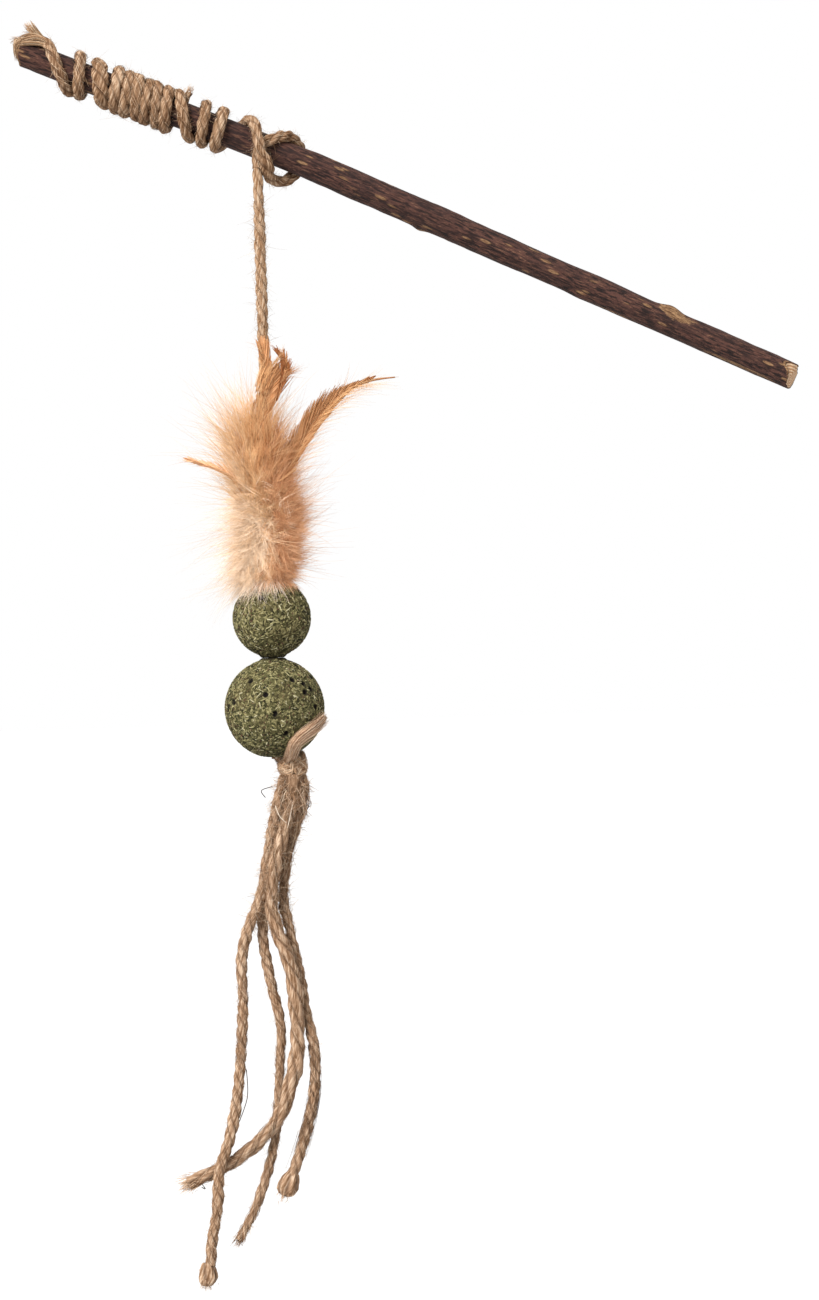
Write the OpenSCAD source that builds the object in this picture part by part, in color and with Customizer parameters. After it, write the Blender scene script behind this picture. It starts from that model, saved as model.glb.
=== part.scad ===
// Cat teaser wand: a natural stick with a twine-bound grip, held so that its line hangs. The line carries
// feathers, two balls of pressed herb, a knot and a tassel. Millimetres, Z up, X towards the tip and Y away
// from the viewer. The origin is the centre of the grip, on the axis of the stick.

/* [Stick] */
// Diameter of the stick at the grip
stick_d = 8.2; // [7:0.1:10]
// Diameter of the round stretch at the tip
tip_d = 8.0; // [6:0.1:9]
// Length of the round stretch at the tip
tip_round_len = 27; // [15:1:30]
// Distance from the centre of the grip to the bend
bend_at = 60; // [58:0.5:75]
// Length from the bend to the sawn end of the tip
tip_len = 155.6; // [120:0.1:240]
// How far the grip stretch points below the horizontal, in degrees
grip_tilt = 23.1; // [15:0.1:30]
// How far the tip stretch points below the horizontal, in degrees
tip_tilt = 25.5; // [15:0.1:32]
// Bare stick that stands out behind the first turn of twine
butt_margin = 6.2; // [3:0.1:12]
// Slant of the roughly cut butt, from top to bottom
butt_slant = 1.6; // [0:0.1:3]
// Distance of the branch scar from the sawn end
scar_from_tip = 41; // [34:0.5:60]
// Height of the branch scar
scar_rise = 0.8; // [0:0.1:1.5]
// Length of the branch scar
scar_len = 7; // [4:0.5:10]
// Bevel round the sawn end
tip_bevel = 0.4; // [0.2:0.1:1]

/* [Twine] */
// Diameter of the twine
twine_d = 2.6; // [2:0.1:3.2]
// Diameter of the strand that has lost its twist
frayed_d = 3.8; // [3:0.1:4]
// Space between a turn and its neighbour in the tight group
turn_gap = 0.58; // [0.5:0.02:0.9]
// Space between the stick and the twine on it
twine_seat = 0.05; // [0.02:0.01:0.1]
// Turns in the tight group
tight_turns = 6; // [5:1:6]

/* [Line] */
// Distance from the centre of the grip to the hitch
hitch_at = 39.4; // [38:0.1:42]
// How far below the stick the line first bends
exit_drop = 4.6; // [4:0.1:6]
// Length of line between its two bends
neck_len = 7; // [6:0.5:12]
// Length of line from the second bend to the feathers
drop_len = 44.1; // [30:0.1:80]
// Length of line inside the feathers
feathered_len = 70.2; // [60:0.1:90]
// Space at each bend of the line
bend_gap = 0.3; // [0.2:0.05:0.5]

/* [Balls] */
// Diameter of the small ball
small_d = 23.4; // [18:0.1:28]
// Diameter of the large ball
large_d = 29.8; // [24:0.1:36]
// Space between the balls
ball_gap = 0.4; // [0.3:0.05:1]
// Diameter of the bore through each ball
bore_d = 3.4; // [3.3:0.1:5]
// Diameter of the flared mouth of each bore
mouth_d = 4.8; // [4:0.1:7]
// Depth of the flared mouth of each bore
mouth_depth = 1.2; // [0.5:0.1:2]

/* [Feathers] */
// Height of the down above the small ball
down_h = 50; // [40:1:60]
// Reach of the down from the line, at its widest
down_r = 15; // [10:0.5:18]
// Space between the down and what it lies against
down_clear = 0.3; // [0.2:0.05:0.5]
// Thickness of a feather's vane
vane_t = 1; // [0.6:0.1:1.5]
// Reach of the right feather from the line
right_reach = 40.6; // [25:0.1:50]
// Height of the right feather's tip above the small ball
right_rise = 59.2; // [52:0.1:65]
// Width of the right feather
right_w = 6.4; // [4:0.1:9]
// Reach of the left feather from the line
left_reach = 25.2; // [18:0.1:35]
// Height of the left feather's tip above the small ball
left_rise = 37.2; // [34:0.1:45]
// Width of the left feather
left_w = 3.4; // [2:0.1:5]
// Height of the top feather's tip above the small ball
top_rise = 72; // [62:0.1:85]
// Width of the top feather
top_w = 8; // [5:0.1:10]
// Thickness of the lashing on the quills
lash_d = 2; // [1.5:0.1:2.4]

/* [Knot] */
// Thickness of the wraps of the knot under the large ball
wrap_d = 2.6; // [2.4:0.1:2.8]
// How far to the side of the bore the knot sits
knot_shift = 4.8; // [4:0.1:5.5]
// Space between the knot and the large ball
knot_clear = 0.35; // [0.3:0.05:0.6]
// Width of the flattened tail of the knot
tail_w = 4.2; // [3:0.1:5]
// Thickness of the flattened tail of the knot
tail_t = 1.1; // [0.8:0.1:1.4]

/* [Tassel] */
// Diameter of the lump that the strands come out of
head_d = 8.6; // [8:0.1:9]
// Distance from the lower wrap of the knot to the centre of the lump
head_drop = 5.4; // [5.3:0.1:7]
// Diameter of the folded end of the left strand
left_end_d = 5.5; // [4:0.1:7]
// Diameter of the folded end of the right strand
right_end_d = 5.8; // [4:0.1:7]

/* [Hidden] */

BARK = "#59403a";
JUTE = "#b98f6b";
HERB = "#6b6743";
RUST = "#b87a45";
TAN = "#d0a27a";
CREAM = "#f0d6bd";

$fn = 64;
overrun = 0.3;
stick_r = stick_d / 2;
twine_r = twine_d / 2;
frayed_r = frayed_d / 2;
small_r = small_d / 2;
large_r = large_d / 2;
wrap_r = wrap_d / 2;
lash_r = lash_d / 2;
head_r = head_d / 2;

// Directions of the stick in the row frame, along it and square to it
grip_dir = [cos(grip_tilt), 0, -sin(grip_tilt)];
grip_up = [sin(grip_tilt), 0, cos(grip_tilt)];
tip_dir = [cos(tip_tilt), 0, -sin(tip_tilt)];

function unit(v) = v / norm(v);
function clamp(x) = min(1, max(0, x));
function mix(a, b, t) = a + (b - a) * t;
function bell(x) = exp(-x * x);

// Lofts. A loft is a list of rings, each anticlockwise about the way the loft runs.
function heading(path, i) = unit(path[min(i + 1, len(path) - 1)] - path[max(i - 1, 0)]);

function oval(centre, run, ref, half_n, half_b, sides) =
    let (n = unit(cross(run, ref)), b = cross(run, n))
    [for (k = [0:sides - 1]) let (a = 360 * k / sides) centre + half_n * cos(a) * n + half_b * sin(a) * b];

// A flat section: sharp at both edges, half_w wide to each side and half_t thick to each face
function blade(centre, run, face, half_w, half_t) =
    let (b = unit(face - (face * run) * run), n = cross(b, run))
    [for (q = [[1, 0], [0.5, 1], [-0.5, 1], [-1, 0], [-0.5, -1], [0.5, -1]])
        centre + q[0] * half_w * n + q[1] * half_t * b];

module loft(rings) {
    sides = len(rings[0]);
    last = len(rings) - 1;
    points = [for (ring = rings) for (p = ring) p];
    walls = [for (i = [0:last - 1]) for (k = [0:sides - 1])
        let (a = i * sides + k, b = i * sides + (k + 1) % sides)
        each [[a, a + sides, b + sides], [a, b + sides, b]]];
    first_cap = [[for (k = [0:sides - 1]) k]];
    last_cap = [[for (k = [sides - 1:-1:0]) last * sides + k]];
    polyhedron(points, concat(first_cap, walls, last_cap));
}

// Round tube along a path, with one radius for each point
module tube(path, radii, ref, sides) {
    loft([for (i = [0:len(path) - 1]) oval(path[i], heading(path, i), ref, radii[i], radii[i], sides)]);
}

// Least space between far parts of one wound tube, skipping the rings next to each
function least_gap(path, d, skip) =
    min([for (i = [0:len(path) - 1 - skip]) for (j = [i + skip:len(path) - 1]) norm(path[i] - path[j])]) - d;

// Smooth curve through points, by Catmull and Rom's rule
function smooth_point(p, i, t) =
    let (last = len(p) - 1, a = p[max(i - 1, 0)], b = p[i], c = p[min(i + 1, last)], e = p[min(i + 2, last)])
    0.5 * (2 * b + (c - a) * t + (2 * a - 5 * b + 4 * c - e) * t * t + (3 * b - a - 3 * c + e) * t * t * t);

function smooth(p, steps) =
    concat(
        [for (i = [0:len(p) - 2]) for (k = [0:steps - 1]) smooth_point(p, i, k / steps)],
        [p[len(p) - 1]]
    );

// The grip frame: along the stick, away from the viewer, and up square to the stick
function grip_point(along, back, up) = along * grip_dir + [0, back, 0] + up * grip_up;

// A point of twine on the stick. The angle is 0 at the front, 90 below, 180 behind and -90 on top.
seat_r = stick_r + twine_seat + twine_r;
function on_stick(along, angle, lift) =
    let (r = seat_r + lift) grip_point(along, -r * cos(angle), -r * sin(angle));

// Winding: each turn's place at the top of the stick and below it, counted back from the hitch in pitches
pitch = twine_d + turn_gap;
loose_share = [[-22.14, -18.39], [-18.57, -17.34], [-16.75, -14.86]];
tight_from_share = -14.69;
tight_slant_share = 0.98;
late_share = [[-8.69, -6.2], [-5.84, -4.99], [-4.08, -3.55]];
meet_share = -2.6;
turns = concat(
    loose_share,
    [for (k = [0:tight_turns - 1]) [tight_from_share + k, tight_from_share + k + tight_slant_share]],
    late_share
);
RINGS_A_TURN = 24;
TWINE_SIDES = 6;

function turn_place(t) =
    let (
        k = floor(t),
        f = t - k,
        next = k + 1 < len(turns) ? turns[k + 1][0] : 2 * meet_share - turns[k][1],
        g = f < 0.5 ? 2 * f : 2 * f - 1,
        ease = mix(g, (1 - cos(180 * g)) / 2, 0.5)
    )
    hitch_at + pitch * (f < 0.5 ? mix(turns[k][0], turns[k][1], ease) : mix(turns[k][1], next, ease));

winding_from = hitch_at + pitch * turns[0][0];
butt_at = winding_from - butt_margin;

// The winding's twine runs on into the hitch behind the stick, straight for one diameter each way
meet_point = on_stick(hitch_at + pitch * meet_share, 180, 0);
meet_slant = 20;
meet_dir = cos(meet_slant) * grip_up + sin(meet_slant) * grip_dir;
last_ring = (len(turns) - 1 + 0.66) * RINGS_A_TURN;
winding_path = concat(
    [for (i = [0:last_ring]) on_stick(turn_place(i / RINGS_A_TURN), -90 + 360 * i / RINGS_A_TURN, 0)],
    [meet_point - twine_d * meet_dir, meet_point - twine_seat * meet_dir]
);

// Hitch: places along the stick in twine diameters from hitch_at, angles, and lifts in twine diameters
hitch_share = [
    [-1.95, -100, 0.1], [-1.15, -50, 0.5], [-0.2, -15, 1.05], [0.75, 12, 1.3], [1.95, 32, 1.38],
    [2.65, 62, 1.12], [3.5, 90, 0.98], [4.55, 113, 0.6], [5.2, 140, 0.15], [5.35, 172, 0],
    [5.0, 208, 0], [4.2, 238, 0], [3.3, 268, 0.05], [2.35, 298, 0], [1.5, 328, 0]
];

// The line hangs from the front of the stick
line_x = hitch_at * cos(grip_tilt);
line_y = -seat_r;
bend_a_z = -hitch_at * sin(grip_tilt) - stick_r / cos(grip_tilt) - exit_drop;
bend_b_z = bend_a_z - neck_len;
feather_z = bend_b_z - drop_len;
small_top_z = feather_z - feathered_len;
small_z = small_top_z - small_r;
large_z = small_z - small_r - ball_gap - large_r;
large_bottom_z = large_z - large_r;

hitch_end_z = bend_a_z + twine_r + bend_gap;
function line_point(z) = [line_x, line_y, z];
hitch_knots = concat(
    [meet_point, meet_point + twine_d * meet_dir],
    [for (h = hitch_share) on_stick(hitch_at + h[0] * twine_d, h[1], h[2] * twine_d)],
    [
        line_point(-hitch_at * sin(grip_tilt)) + [0.4 * twine_d, 0, -0.15 * twine_d],
        line_point(hitch_end_z) + [0.02 * twine_d, 0, twine_d],
        line_point(hitch_end_z)
    ]
);
HITCH_STEPS = 3;
hitch_path = smooth(hitch_knots, HITCH_STEPS);
echo(least_gap_of_winding_mm = least_gap(winding_path, twine_d, RINGS_A_TURN / 2));
echo(least_gap_of_hitch_mm = least_gap(hitch_path, twine_d, 5 * HITCH_STEPS));

// Knot and tassel head
knot_x = line_x + knot_shift;
upper_wrap_z = large_bottom_z - knot_clear - wrap_r;
lower_wrap_z = upper_wrap_z - 0.95 * wrap_d;
wrap_ring_r = wrap_d;
head_point = [knot_x, line_y, lower_wrap_z - head_drop];

// Free twine, as points from where each stretch starts. The strands start at the tassel head.
CORD_SIDES = 8;
drop_route = [[0, 0, 0], [0, 0, -8.5], [0, 0, -17], [0, 0, -25.5], [0, 0, -34.5]];
left_route = [
    [-4.5, -0.9, -3.1], [-6.5, -0.9, -11.5], [-8, -0.4, -19.5], [-9.5, -0.4, -27], [-11.5, -0.6, -34],
    [-15, -1, -42], [-17, -1.2, -51], [-17, -1.4, -63.5], [-18, -1.5, -78], [-19.5, -1.8, -91],
    [-22, -2.4, -103], [-25.5, -3, -113.5], [-26.5, -2.6, -124.5], [-28.5, -2, -135], [-29, -1.6, -141.5]
];
middle_route = [
    [-3.5, 2.1, -3.6], [-5, 2.3, -12], [-6.5, 3, -20], [-8, 3.3, -27.5], [-10, 3.2, -35.5],
    [-10.5, 3, -44], [-9.5, 3, -52], [-8, 3, -60.5], [-6, 3, -70.5], [-6.5, 3, -81.5],
    [-7.5, 3.5, -93.5], [-9, 3.3, -105.5], [-11.5, 2.6, -115], [-15.5, 1.8, -125.5], [-20.5, 1.2, -134.5]
];
frayed_route = [
    [-1, -1.8, -4.5], [-3, -2.4, -12], [-5.5, -3.3, -20], [-7, -3.5, -27.5], [-7.5, -2.6, -35.5],
    [-5.5, -2, -43.5], [-3, -1.4, -51], [-1.5, -1.2, -59], [-1, -1, -70], [-1.5, -0.6, -80.5],
    [-4, -0.5, -89.5], [-7, -0.4, -97.5], [-12.5, -0.2, -104], [-20, 0.5, -110], [-29, 1, -114.5],
    [-35, 1, -117]
];
right_route = [
    [2, 1.2, -4.9], [0, 1.4, -12.5], [-2.5, 1.6, -19.5], [-3.5, 1.8, -26.5], [-4, 2.2, -34],
    [-2.5, 2.4, -41], [-1, 2.6, -49.5], [0.5, 2.6, -58], [1.5, 2.4, -66.5], [3.5, 1.5, -75],
    [4, 0.8, -84], [3, 0.4, -93.5], [0.5, 0.2, -103], [-2, 0, -110.5], [-4, 0, -115.5]
];

module cord(route, start, r) {
    path = [for (p = route) start + p];
    tube(path, [for (p = path) r], [0, 1, 0], CORD_SIDES);
}

// Centre, run and radius of the stick. Places are counted from the centre of the grip.
bend_half = 6;
tip_at = bend_at + tip_len;
round_at = tip_at - tip_round_len;
STICK_RINGS = 60;
STICK_SIDES = 24;
BARK_RIDGES = 5;
ridge_rise = 0.1;
tenon = 1;
tenon_share = 0.75;
swell_share = [[0, 1], [0.3, 1], [0.45, 1.05], [0.58, 1.08], [0.72, 1.02], [1, 1]];

function bend_share(at) = clamp((at - bend_at + bend_half) / (2 * bend_half));
function stick_tilt(at) = mix(grip_tilt, tip_tilt, bend_share(at));
function stick_centre(at) =
    let (
        corner = grip_point(bend_at, 0, 0),
        from = corner - bend_half * grip_dir,
        to = corner + bend_half * tip_dir,
        t = bend_share(at)
    )
    at < bend_at - bend_half ? grip_point(at, 0, 0)
    : at > bend_at + bend_half ? corner + (at - bend_at) * tip_dir
    : mix(mix(from, corner, t), mix(corner, to, t), t);

// The stick is round under the twine, swells and is ridged past the bend, and has a scar on top
function stick_radius(at, angle) =
    let (
        share = (at - butt_at) / (round_at - butt_at),
        past = clamp((at - bend_at) / (4 * bend_half)) * clamp((round_at - at) / (2 * bend_half)),
        plain = mix(stick_r, tip_d / 2, clamp((at - bend_at) / (round_at - bend_at))),
        scar = bell(2 * (at - tip_at + scar_from_tip) / scar_len) * bell((angle - 270) / 32)
    )
    plain * lookup(share, swell_share) + past * ridge_rise * cos(BARK_RIDGES * angle) + scar_rise * scar;

function stick_ring(i) =
    let (
        at = i < STICK_RINGS ? mix(butt_at, round_at - tenon / 2, i / (STICK_RINGS - 1)) : round_at + tenon,
        size = i < STICK_RINGS ? 1 : tenon_share,
        tilt = stick_tilt(at),
        run = [cos(tilt), 0, -sin(tilt)],
        up = [sin(tilt), 0, cos(tilt)],
        slant = i == 0 ? butt_slant / 2 : 0
    )
    [for (k = [0:STICK_SIDES - 1])
        let (angle = 360 * k / STICK_SIDES, r = size * stick_radius(at, angle))
        stick_centre(at) - r * cos(angle) * [0, 1, 0] - r * sin(angle) * up + slant * sin(angle) * run];

// The ridged stretch ends in a tenon inside the tip, which is a true cylinder
module stick() {
    color(BARK) {
        loft([for (i = [0:STICK_RINGS]) stick_ring(i)]);
        translate(stick_centre(round_at))
            rotate([0, 90 + tip_tilt, 0])
            rotate_extrude()
            polygon([
                [0, 0], [tip_d / 2, 0], [tip_d / 2, tip_round_len - tip_bevel],
                [tip_d / 2 - tip_bevel, tip_round_len], [0, tip_round_len]
            ]);
    }
}

module grip_winding() {
    color(JUTE) tube(winding_path, [for (p = winding_path) twine_r], grip_dir, TWINE_SIDES);
}

// The frayed end: a flat tongue back along the top of the stick, and a tuft that stands up from it
tongue_share = [
    [-0.3, -104, -0.05, 0.8, 0.8], [-0.9, -103, -0.1, 1.2, 0.75], [-1.7, -98, -0.2, 1.6, 0.6],
    [-2.5, -91, -0.25, 1.7, 0.5]
];
tuft_share = [[0, 0, 0.8], [-0.9, 0.75, 1.15], [-1.7, 1.5, 1.05], [-2.4, 2.2, 0.45]];

module frayed_start() {
    tongue = [for (s = tongue_share) on_stick(winding_from + s[0] * twine_d, s[1], s[2] * twine_d)];
    root = on_stick(winding_from - 0.8 * twine_d, -99, 0.1 * twine_d);
    tuft = [for (s = tuft_share) root + s[0] * twine_d * [1, 0, 0] + s[1] * twine_d * [0, 0, 1]];
    color(JUTE) {
        loft([for (i = [0:len(tongue) - 1])
            oval(tongue[i], heading(tongue, i), grip_up,
                tongue_share[i][3] * twine_r, tongue_share[i][4] * twine_r, CORD_SIDES)]);
        tube(tuft, [for (s = tuft_share) s[2] * twine_r], [0, 1, 0], CORD_SIDES);
    }
}

tucked_at = hitch_at + pitch * (late_share[0][0] + 0.9);
tucked_len = 1.3 * twine_d;

module tucked_end() {
    color(JUTE)
        translate(grip_point(tucked_at, 0, stick_r + twine_seat))
        rotate([0, grip_tilt, 0])
        cylinder(h = tucked_len, r = 0.85 * twine_r);
}

module hitch() {
    color(JUTE) tube(hitch_path, [for (p = hitch_path) twine_r], grip_dir, TWINE_SIDES);
}

// A stretch of line that turns about its round upper end
module line_link(from_z, to_z) {
    translate(line_point(from_z)) sphere(r = twine_r);
    translate(line_point(to_z)) cylinder(h = from_z - to_z, r = twine_r);
}

module drop_neck() {
    color(JUTE) line_link(bend_a_z, bend_b_z + twine_r + bend_gap);
}

module drop_cord() {
    start = line_point(bend_b_z);
    run = [for (p = drop_route) start + p];
    cap = [start + [0, 0, 0.98 * twine_r], start + [0, 0, 0.7 * twine_r]];
    path = concat(cap, run, [line_point(feather_z)]);
    radii = concat([0.2 * twine_r, 0.71 * twine_r], [for (p = run) twine_r], [twine_r]);
    color(JUTE) tube(path, radii, [0, 1, 0], CORD_SIDES);
}

// The line inside the lure ends at the mouth of the large ball's bore, a little below it
lure_end_z = large_bottom_z - knot_clear;

module lure_cord() {
    color(JUTE) translate(line_point(lure_end_z)) cylinder(h = feather_z - lure_end_z, r = twine_r);
}

lash_ring_r = twine_r + lash_r + twine_seat;
lash_out_r = lash_ring_r + lash_r;
LASH_WRAPS = 2;

module quill_knot() {
    color(JUTE)
        for (k = [0:LASH_WRAPS - 1])
            translate(line_point(small_top_z + down_clear + lash_r + 0.9 * lash_d * k))
            rotate_extrude()
            translate([lash_ring_r, 0])
            circle(r = lash_r);
}

// Down round the line: a wedge of a turned body, hollow over the line and the lashing
lash_top = down_clear + lash_d * (1 + 0.9 * (LASH_WRAPS - 1)) + down_clear;
wedge_gap_angle = 1.2;

module down(from_angle, angle, reach, profile_share) {
    inner = twine_r + down_clear;
    core = lash_out_r + down_clear;
    outline = concat(
        [[core, down_clear]],
        [for (s = profile_share) [s[1] * reach, down_clear + s[0] * (down_h - down_clear)]],
        [[inner, down_h], [inner, lash_top], [core, lash_top]]
    );
    translate(line_point(small_top_z))
        rotate([0, 0, from_angle + wedge_gap_angle / 2])
        rotate_extrude(angle = angle - wedge_gap_angle)
        polygon(outline);
}

// A feather's vane: rows of sideways place, height and width, as shares of its reach, rise and width
module vane(rows_share, reach, rise, width, back) {
    path = [for (s = rows_share) line_point(small_top_z) + [s[0] * reach, back, s[1] * rise]];
    color(RUST)
        loft([for (i = [0:len(path) - 1])
            blade(path[i], heading(path, i), [0, 1, 0], rows_share[i][2] * width / 2, vane_t / 2)]);
}

right_vane_share = [
    [0.07, 0.4, 0.4], [0.1, 0.49, 0.45], [0.177, 0.615, 0.7], [0.27, 0.7, 0.92], [0.38, 0.82, 1],
    [0.515, 0.89, 0.95], [0.695, 0.965, 0.6], [0.83, 0.992, 0.3], [1, 1, 0.06]
];
left_vane_share = [
    [0.2, 0.5, 0.9], [0.35, 0.68, 1], [0.52, 0.79, 1], [0.67, 0.89, 0.8], [0.84, 0.955, 0.5], [1, 1, 0.12]
];
top_vane_share = [
    [0, 0.4, 0.35], [-0.01, 0.56, 0.45], [0, 0.66, 0.55], [0.04, 0.71, 0.75], [0.09, 0.77, 0.95],
    [0.13, 0.83, 1], [0.13, 0.88, 1], [0.09, 0.94, 0.85], [0.02, 1, 0.45]
];
right_down_share = [
    [0.05, 0.55], [0.2, 0.72], [0.42, 0.82], [0.62, 0.68], [0.8, 0.66], [0.93, 0.45], [1, 0.2]
];
left_down_share = [[0.05, 0.6], [0.17, 0.97], [0.4, 0.78], [0.6, 0.92], [0.74, 1], [0.88, 0.82], [1, 0.4]];
front_down_share = [[0.05, 0.55], [0.2, 0.75], [0.45, 0.8], [0.65, 0.78], [0.82, 0.66], [1, 0.3]];
back_down_share = [[0.05, 0.5], [0.2, 0.7], [0.45, 0.78], [0.7, 0.74], [0.88, 0.55], [1, 0.25]];

// Where each wedge starts and how far it turns: the front one is wide enough to hold the top feather
front_from_angle = 210;
front_turn_angle = 120;
right_turn_angle = 85;
back_turn_angle = 75;
left_turn_angle = 80;

module feather_right() {
    color(TAN) down(front_from_angle + front_turn_angle, right_turn_angle, down_r, right_down_share);
    vane(right_vane_share, right_reach, right_rise, right_w, 0);
}

module down_plume() {
    from_angle = front_from_angle - left_turn_angle - back_turn_angle;
    color(TAN) down(from_angle, back_turn_angle, down_r, back_down_share);
}

module feather_left() {
    color(CREAM) down(front_from_angle - left_turn_angle, left_turn_angle, down_r, left_down_share);
    vane(left_vane_share, -left_reach, left_rise, left_w, 0);
}

module feather_top() {
    color(TAN) down(front_from_angle, front_turn_angle, down_r, front_down_share);
    vane(top_vane_share, right_reach, top_rise, top_w, -(twine_r + down_clear + vane_t / 2));
}

module ball(d, z) {
    color(HERB)
        translate(line_point(z))
        difference() {
            sphere(d = d);
            cylinder(h = 2 * d, d = bore_d, center = true);
            for (side = [0, 180])
                rotate([side, 0, 0])
                translate([0, 0, d / 2 - mouth_depth])
                cylinder(h = mouth_depth + overrun, d1 = bore_d, d2 = mouth_d);
        }
}

module small_ball() {
    ball(small_d, small_z);
}

module large_ball() {
    ball(large_d, large_z);
}

// Two wraps of twine round the bundle, tilted opposite ways, and the lead from the bore into them
wrap_tilt = 7;

module stopper_knot() {
    color(JUTE) {
        translate([knot_x, line_y, upper_wrap_z])
            rotate([0, -wrap_tilt, 0])
            rotate_extrude()
            translate([wrap_ring_r / 1.05, 0])
            circle(r = wrap_r);
        translate([knot_x, line_y, lower_wrap_z])
            rotate([0, wrap_tilt, 0])
            rotate_extrude()
            translate([wrap_ring_r / 1.05, 0])
            circle(r = wrap_r);
        translate([knot_x, line_y, lower_wrap_z - 0.2 * wrap_d])
            cylinder(h = upper_wrap_z - lower_wrap_z + 0.4 * wrap_d, r = wrap_ring_r);
        translate(line_point(lure_end_z - twine_d)) cylinder(h = twine_d, r = twine_r);
        translate(line_point(lure_end_z - twine_d)) sphere(r = twine_r);
        translate(line_point(lure_end_z - twine_d))
            rotate([0, 90, 0])
            cylinder(h = knot_shift, r = twine_r);
    }
}

// The tail lies round the front of the large ball. Rows are a direction from the ball, and a lift in
// tail widths.
tail_share = [
    [0.29, -0.27, -0.92, 0.12], [0.434, -0.39, -0.811, 0], [0.586, -0.467, -0.662, 0],
    [0.7, -0.46, -0.55, 0], [0.8, -0.41, -0.44, 0.04], [0.927, -0.273, -0.2545, 0.15]
];

module knot_tail() {
    lie_r = large_r + knot_clear + tail_t / 2;
    path = [for (s = tail_share) line_point(large_z) + unit([s[0], s[1], s[2]]) * (lie_r + s[3] * tail_w)];
    color(JUTE)
        loft([for (i = [0:len(path) - 1])
            blade(path[i], heading(path, i), path[i] - line_point(large_z), tail_w / 2, tail_t / 2)]);
}

module tassel_head() {
    color(JUTE) translate(head_point) sphere(r = head_r);
}

module strand_left() {
    color(JUTE) cord(left_route, head_point, twine_r);
}

module strand_middle() {
    color(JUTE) cord(middle_route, head_point, twine_r);
}

module strand_frayed() {
    color(JUTE) cord(frayed_route, head_point, frayed_r);
}

module strand_right() {
    color(JUTE) cord(right_route, head_point, twine_r);
}

// The folded end of a strand, hung below the strand's last point
module end_knot(route, d) {
    last = len(route) - 1;
    end = head_point + route[last];
    run = unit(route[last] - route[last - 1]);
    color(JUTE) translate(end + run * (d / 2 + twine_seat)) sphere(d = d);
}

module left_end_knot() {
    end_knot(left_route, left_end_d);
}

module right_end_knot() {
    end_knot(right_route, right_end_d);
}

stick();
grip_winding();
frayed_start();
tucked_end();
hitch();
drop_neck();
drop_cord();
lure_cord();
quill_knot();
feather_top();
feather_right();
feather_left();
down_plume();
small_ball();
large_ball();
stopper_knot();
knot_tail();
tassel_head();
strand_left();
strand_middle();
strand_frayed();
strand_right();
left_end_knot();
right_end_knot();
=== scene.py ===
import math
import bpy
import numpy as np
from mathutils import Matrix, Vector


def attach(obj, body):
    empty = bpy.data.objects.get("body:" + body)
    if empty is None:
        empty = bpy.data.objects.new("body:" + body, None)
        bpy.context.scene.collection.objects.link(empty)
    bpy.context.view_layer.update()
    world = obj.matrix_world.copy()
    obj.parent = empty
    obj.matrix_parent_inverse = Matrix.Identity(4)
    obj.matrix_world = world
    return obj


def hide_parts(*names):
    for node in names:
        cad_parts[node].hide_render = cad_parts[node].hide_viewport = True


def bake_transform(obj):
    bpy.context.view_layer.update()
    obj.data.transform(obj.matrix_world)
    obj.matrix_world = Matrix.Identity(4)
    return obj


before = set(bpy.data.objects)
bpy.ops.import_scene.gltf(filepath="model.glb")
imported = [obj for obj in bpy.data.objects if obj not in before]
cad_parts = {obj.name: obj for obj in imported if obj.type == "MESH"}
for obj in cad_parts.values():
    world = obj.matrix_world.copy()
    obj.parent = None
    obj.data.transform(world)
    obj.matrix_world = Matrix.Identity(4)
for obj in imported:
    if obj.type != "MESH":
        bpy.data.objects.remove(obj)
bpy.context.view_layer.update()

# Everything below is worked out in millimetres in the row frame: X to the right, Y away, Z up.

photo = {"width": 819, "height": 1300, "mmPerPixel": 0.3, "roll": math.radians(1.8), "grip": (134.9, 97.0)}
eye = {"distance": 2000.0, "sensor": 36.0, "floor": -500.0}
sideways, downwards = np.array([0, 1.0, 0]), np.array([0, 0, -1.0])


def onPhoto(px, py):
    # pixel to X and Z: the offset from the grip, turned by the roll and scaled
    dx, dy = np.asarray(px, float) - photo["grip"][0], np.asarray(py, float) - photo["grip"][1]
    c, s = math.cos(photo["roll"]), math.sin(photo["roll"])
    return photo["mmPerPixel"] * (dx * c - dy * s), -photo["mmPerPixel"] * (dx * s + dy * c)


def newObject(name, data):
    # an object with its data, linked into the scene
    made = bpy.data.objects.new(name, data)
    bpy.context.collection.objects.link(made)
    return made


def makeCamera():
    # level camera that looks along Y at the photograph's middle, turned by the roll
    x, z = onPhoto(photo["width"] / 2, photo["height"] / 2)
    camera = newObject("photo_camera", bpy.data.cameras.new("photo_camera"))
    camera.data.sensor_width = eye["sensor"]
    camera.data.lens = eye["sensor"] * eye["distance"] / (photo["height"] * photo["mmPerPixel"])
    camera.data.clip_end = 100.0
    camera.location = (x / 1000, -eye["distance"] / 1000, z / 1000)
    camera.rotation_euler = (math.pi / 2, photo["roll"], 0)
    bpy.context.scene.camera = camera


makeCamera()

# Shaders


class Link:
    # a shader value: arithmetic on it adds Math nodes
    def __init__(self, finish, socket):
        self.finish, self.socket = finish, socket

    def maths(self, operation, *others):
        # a Math node on this value and the others
        return self.finish.node("ShaderNodeMath", {"operation": operation}, dict(enumerate((self, *others))))

    def __add__(self, other):
        return self.maths("ADD", other)

    def __sub__(self, other):
        return self.maths("SUBTRACT", other)

    def __mul__(self, other):
        return self.maths("MULTIPLY", other)

    __radd__, __rmul__ = __add__, __mul__


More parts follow.
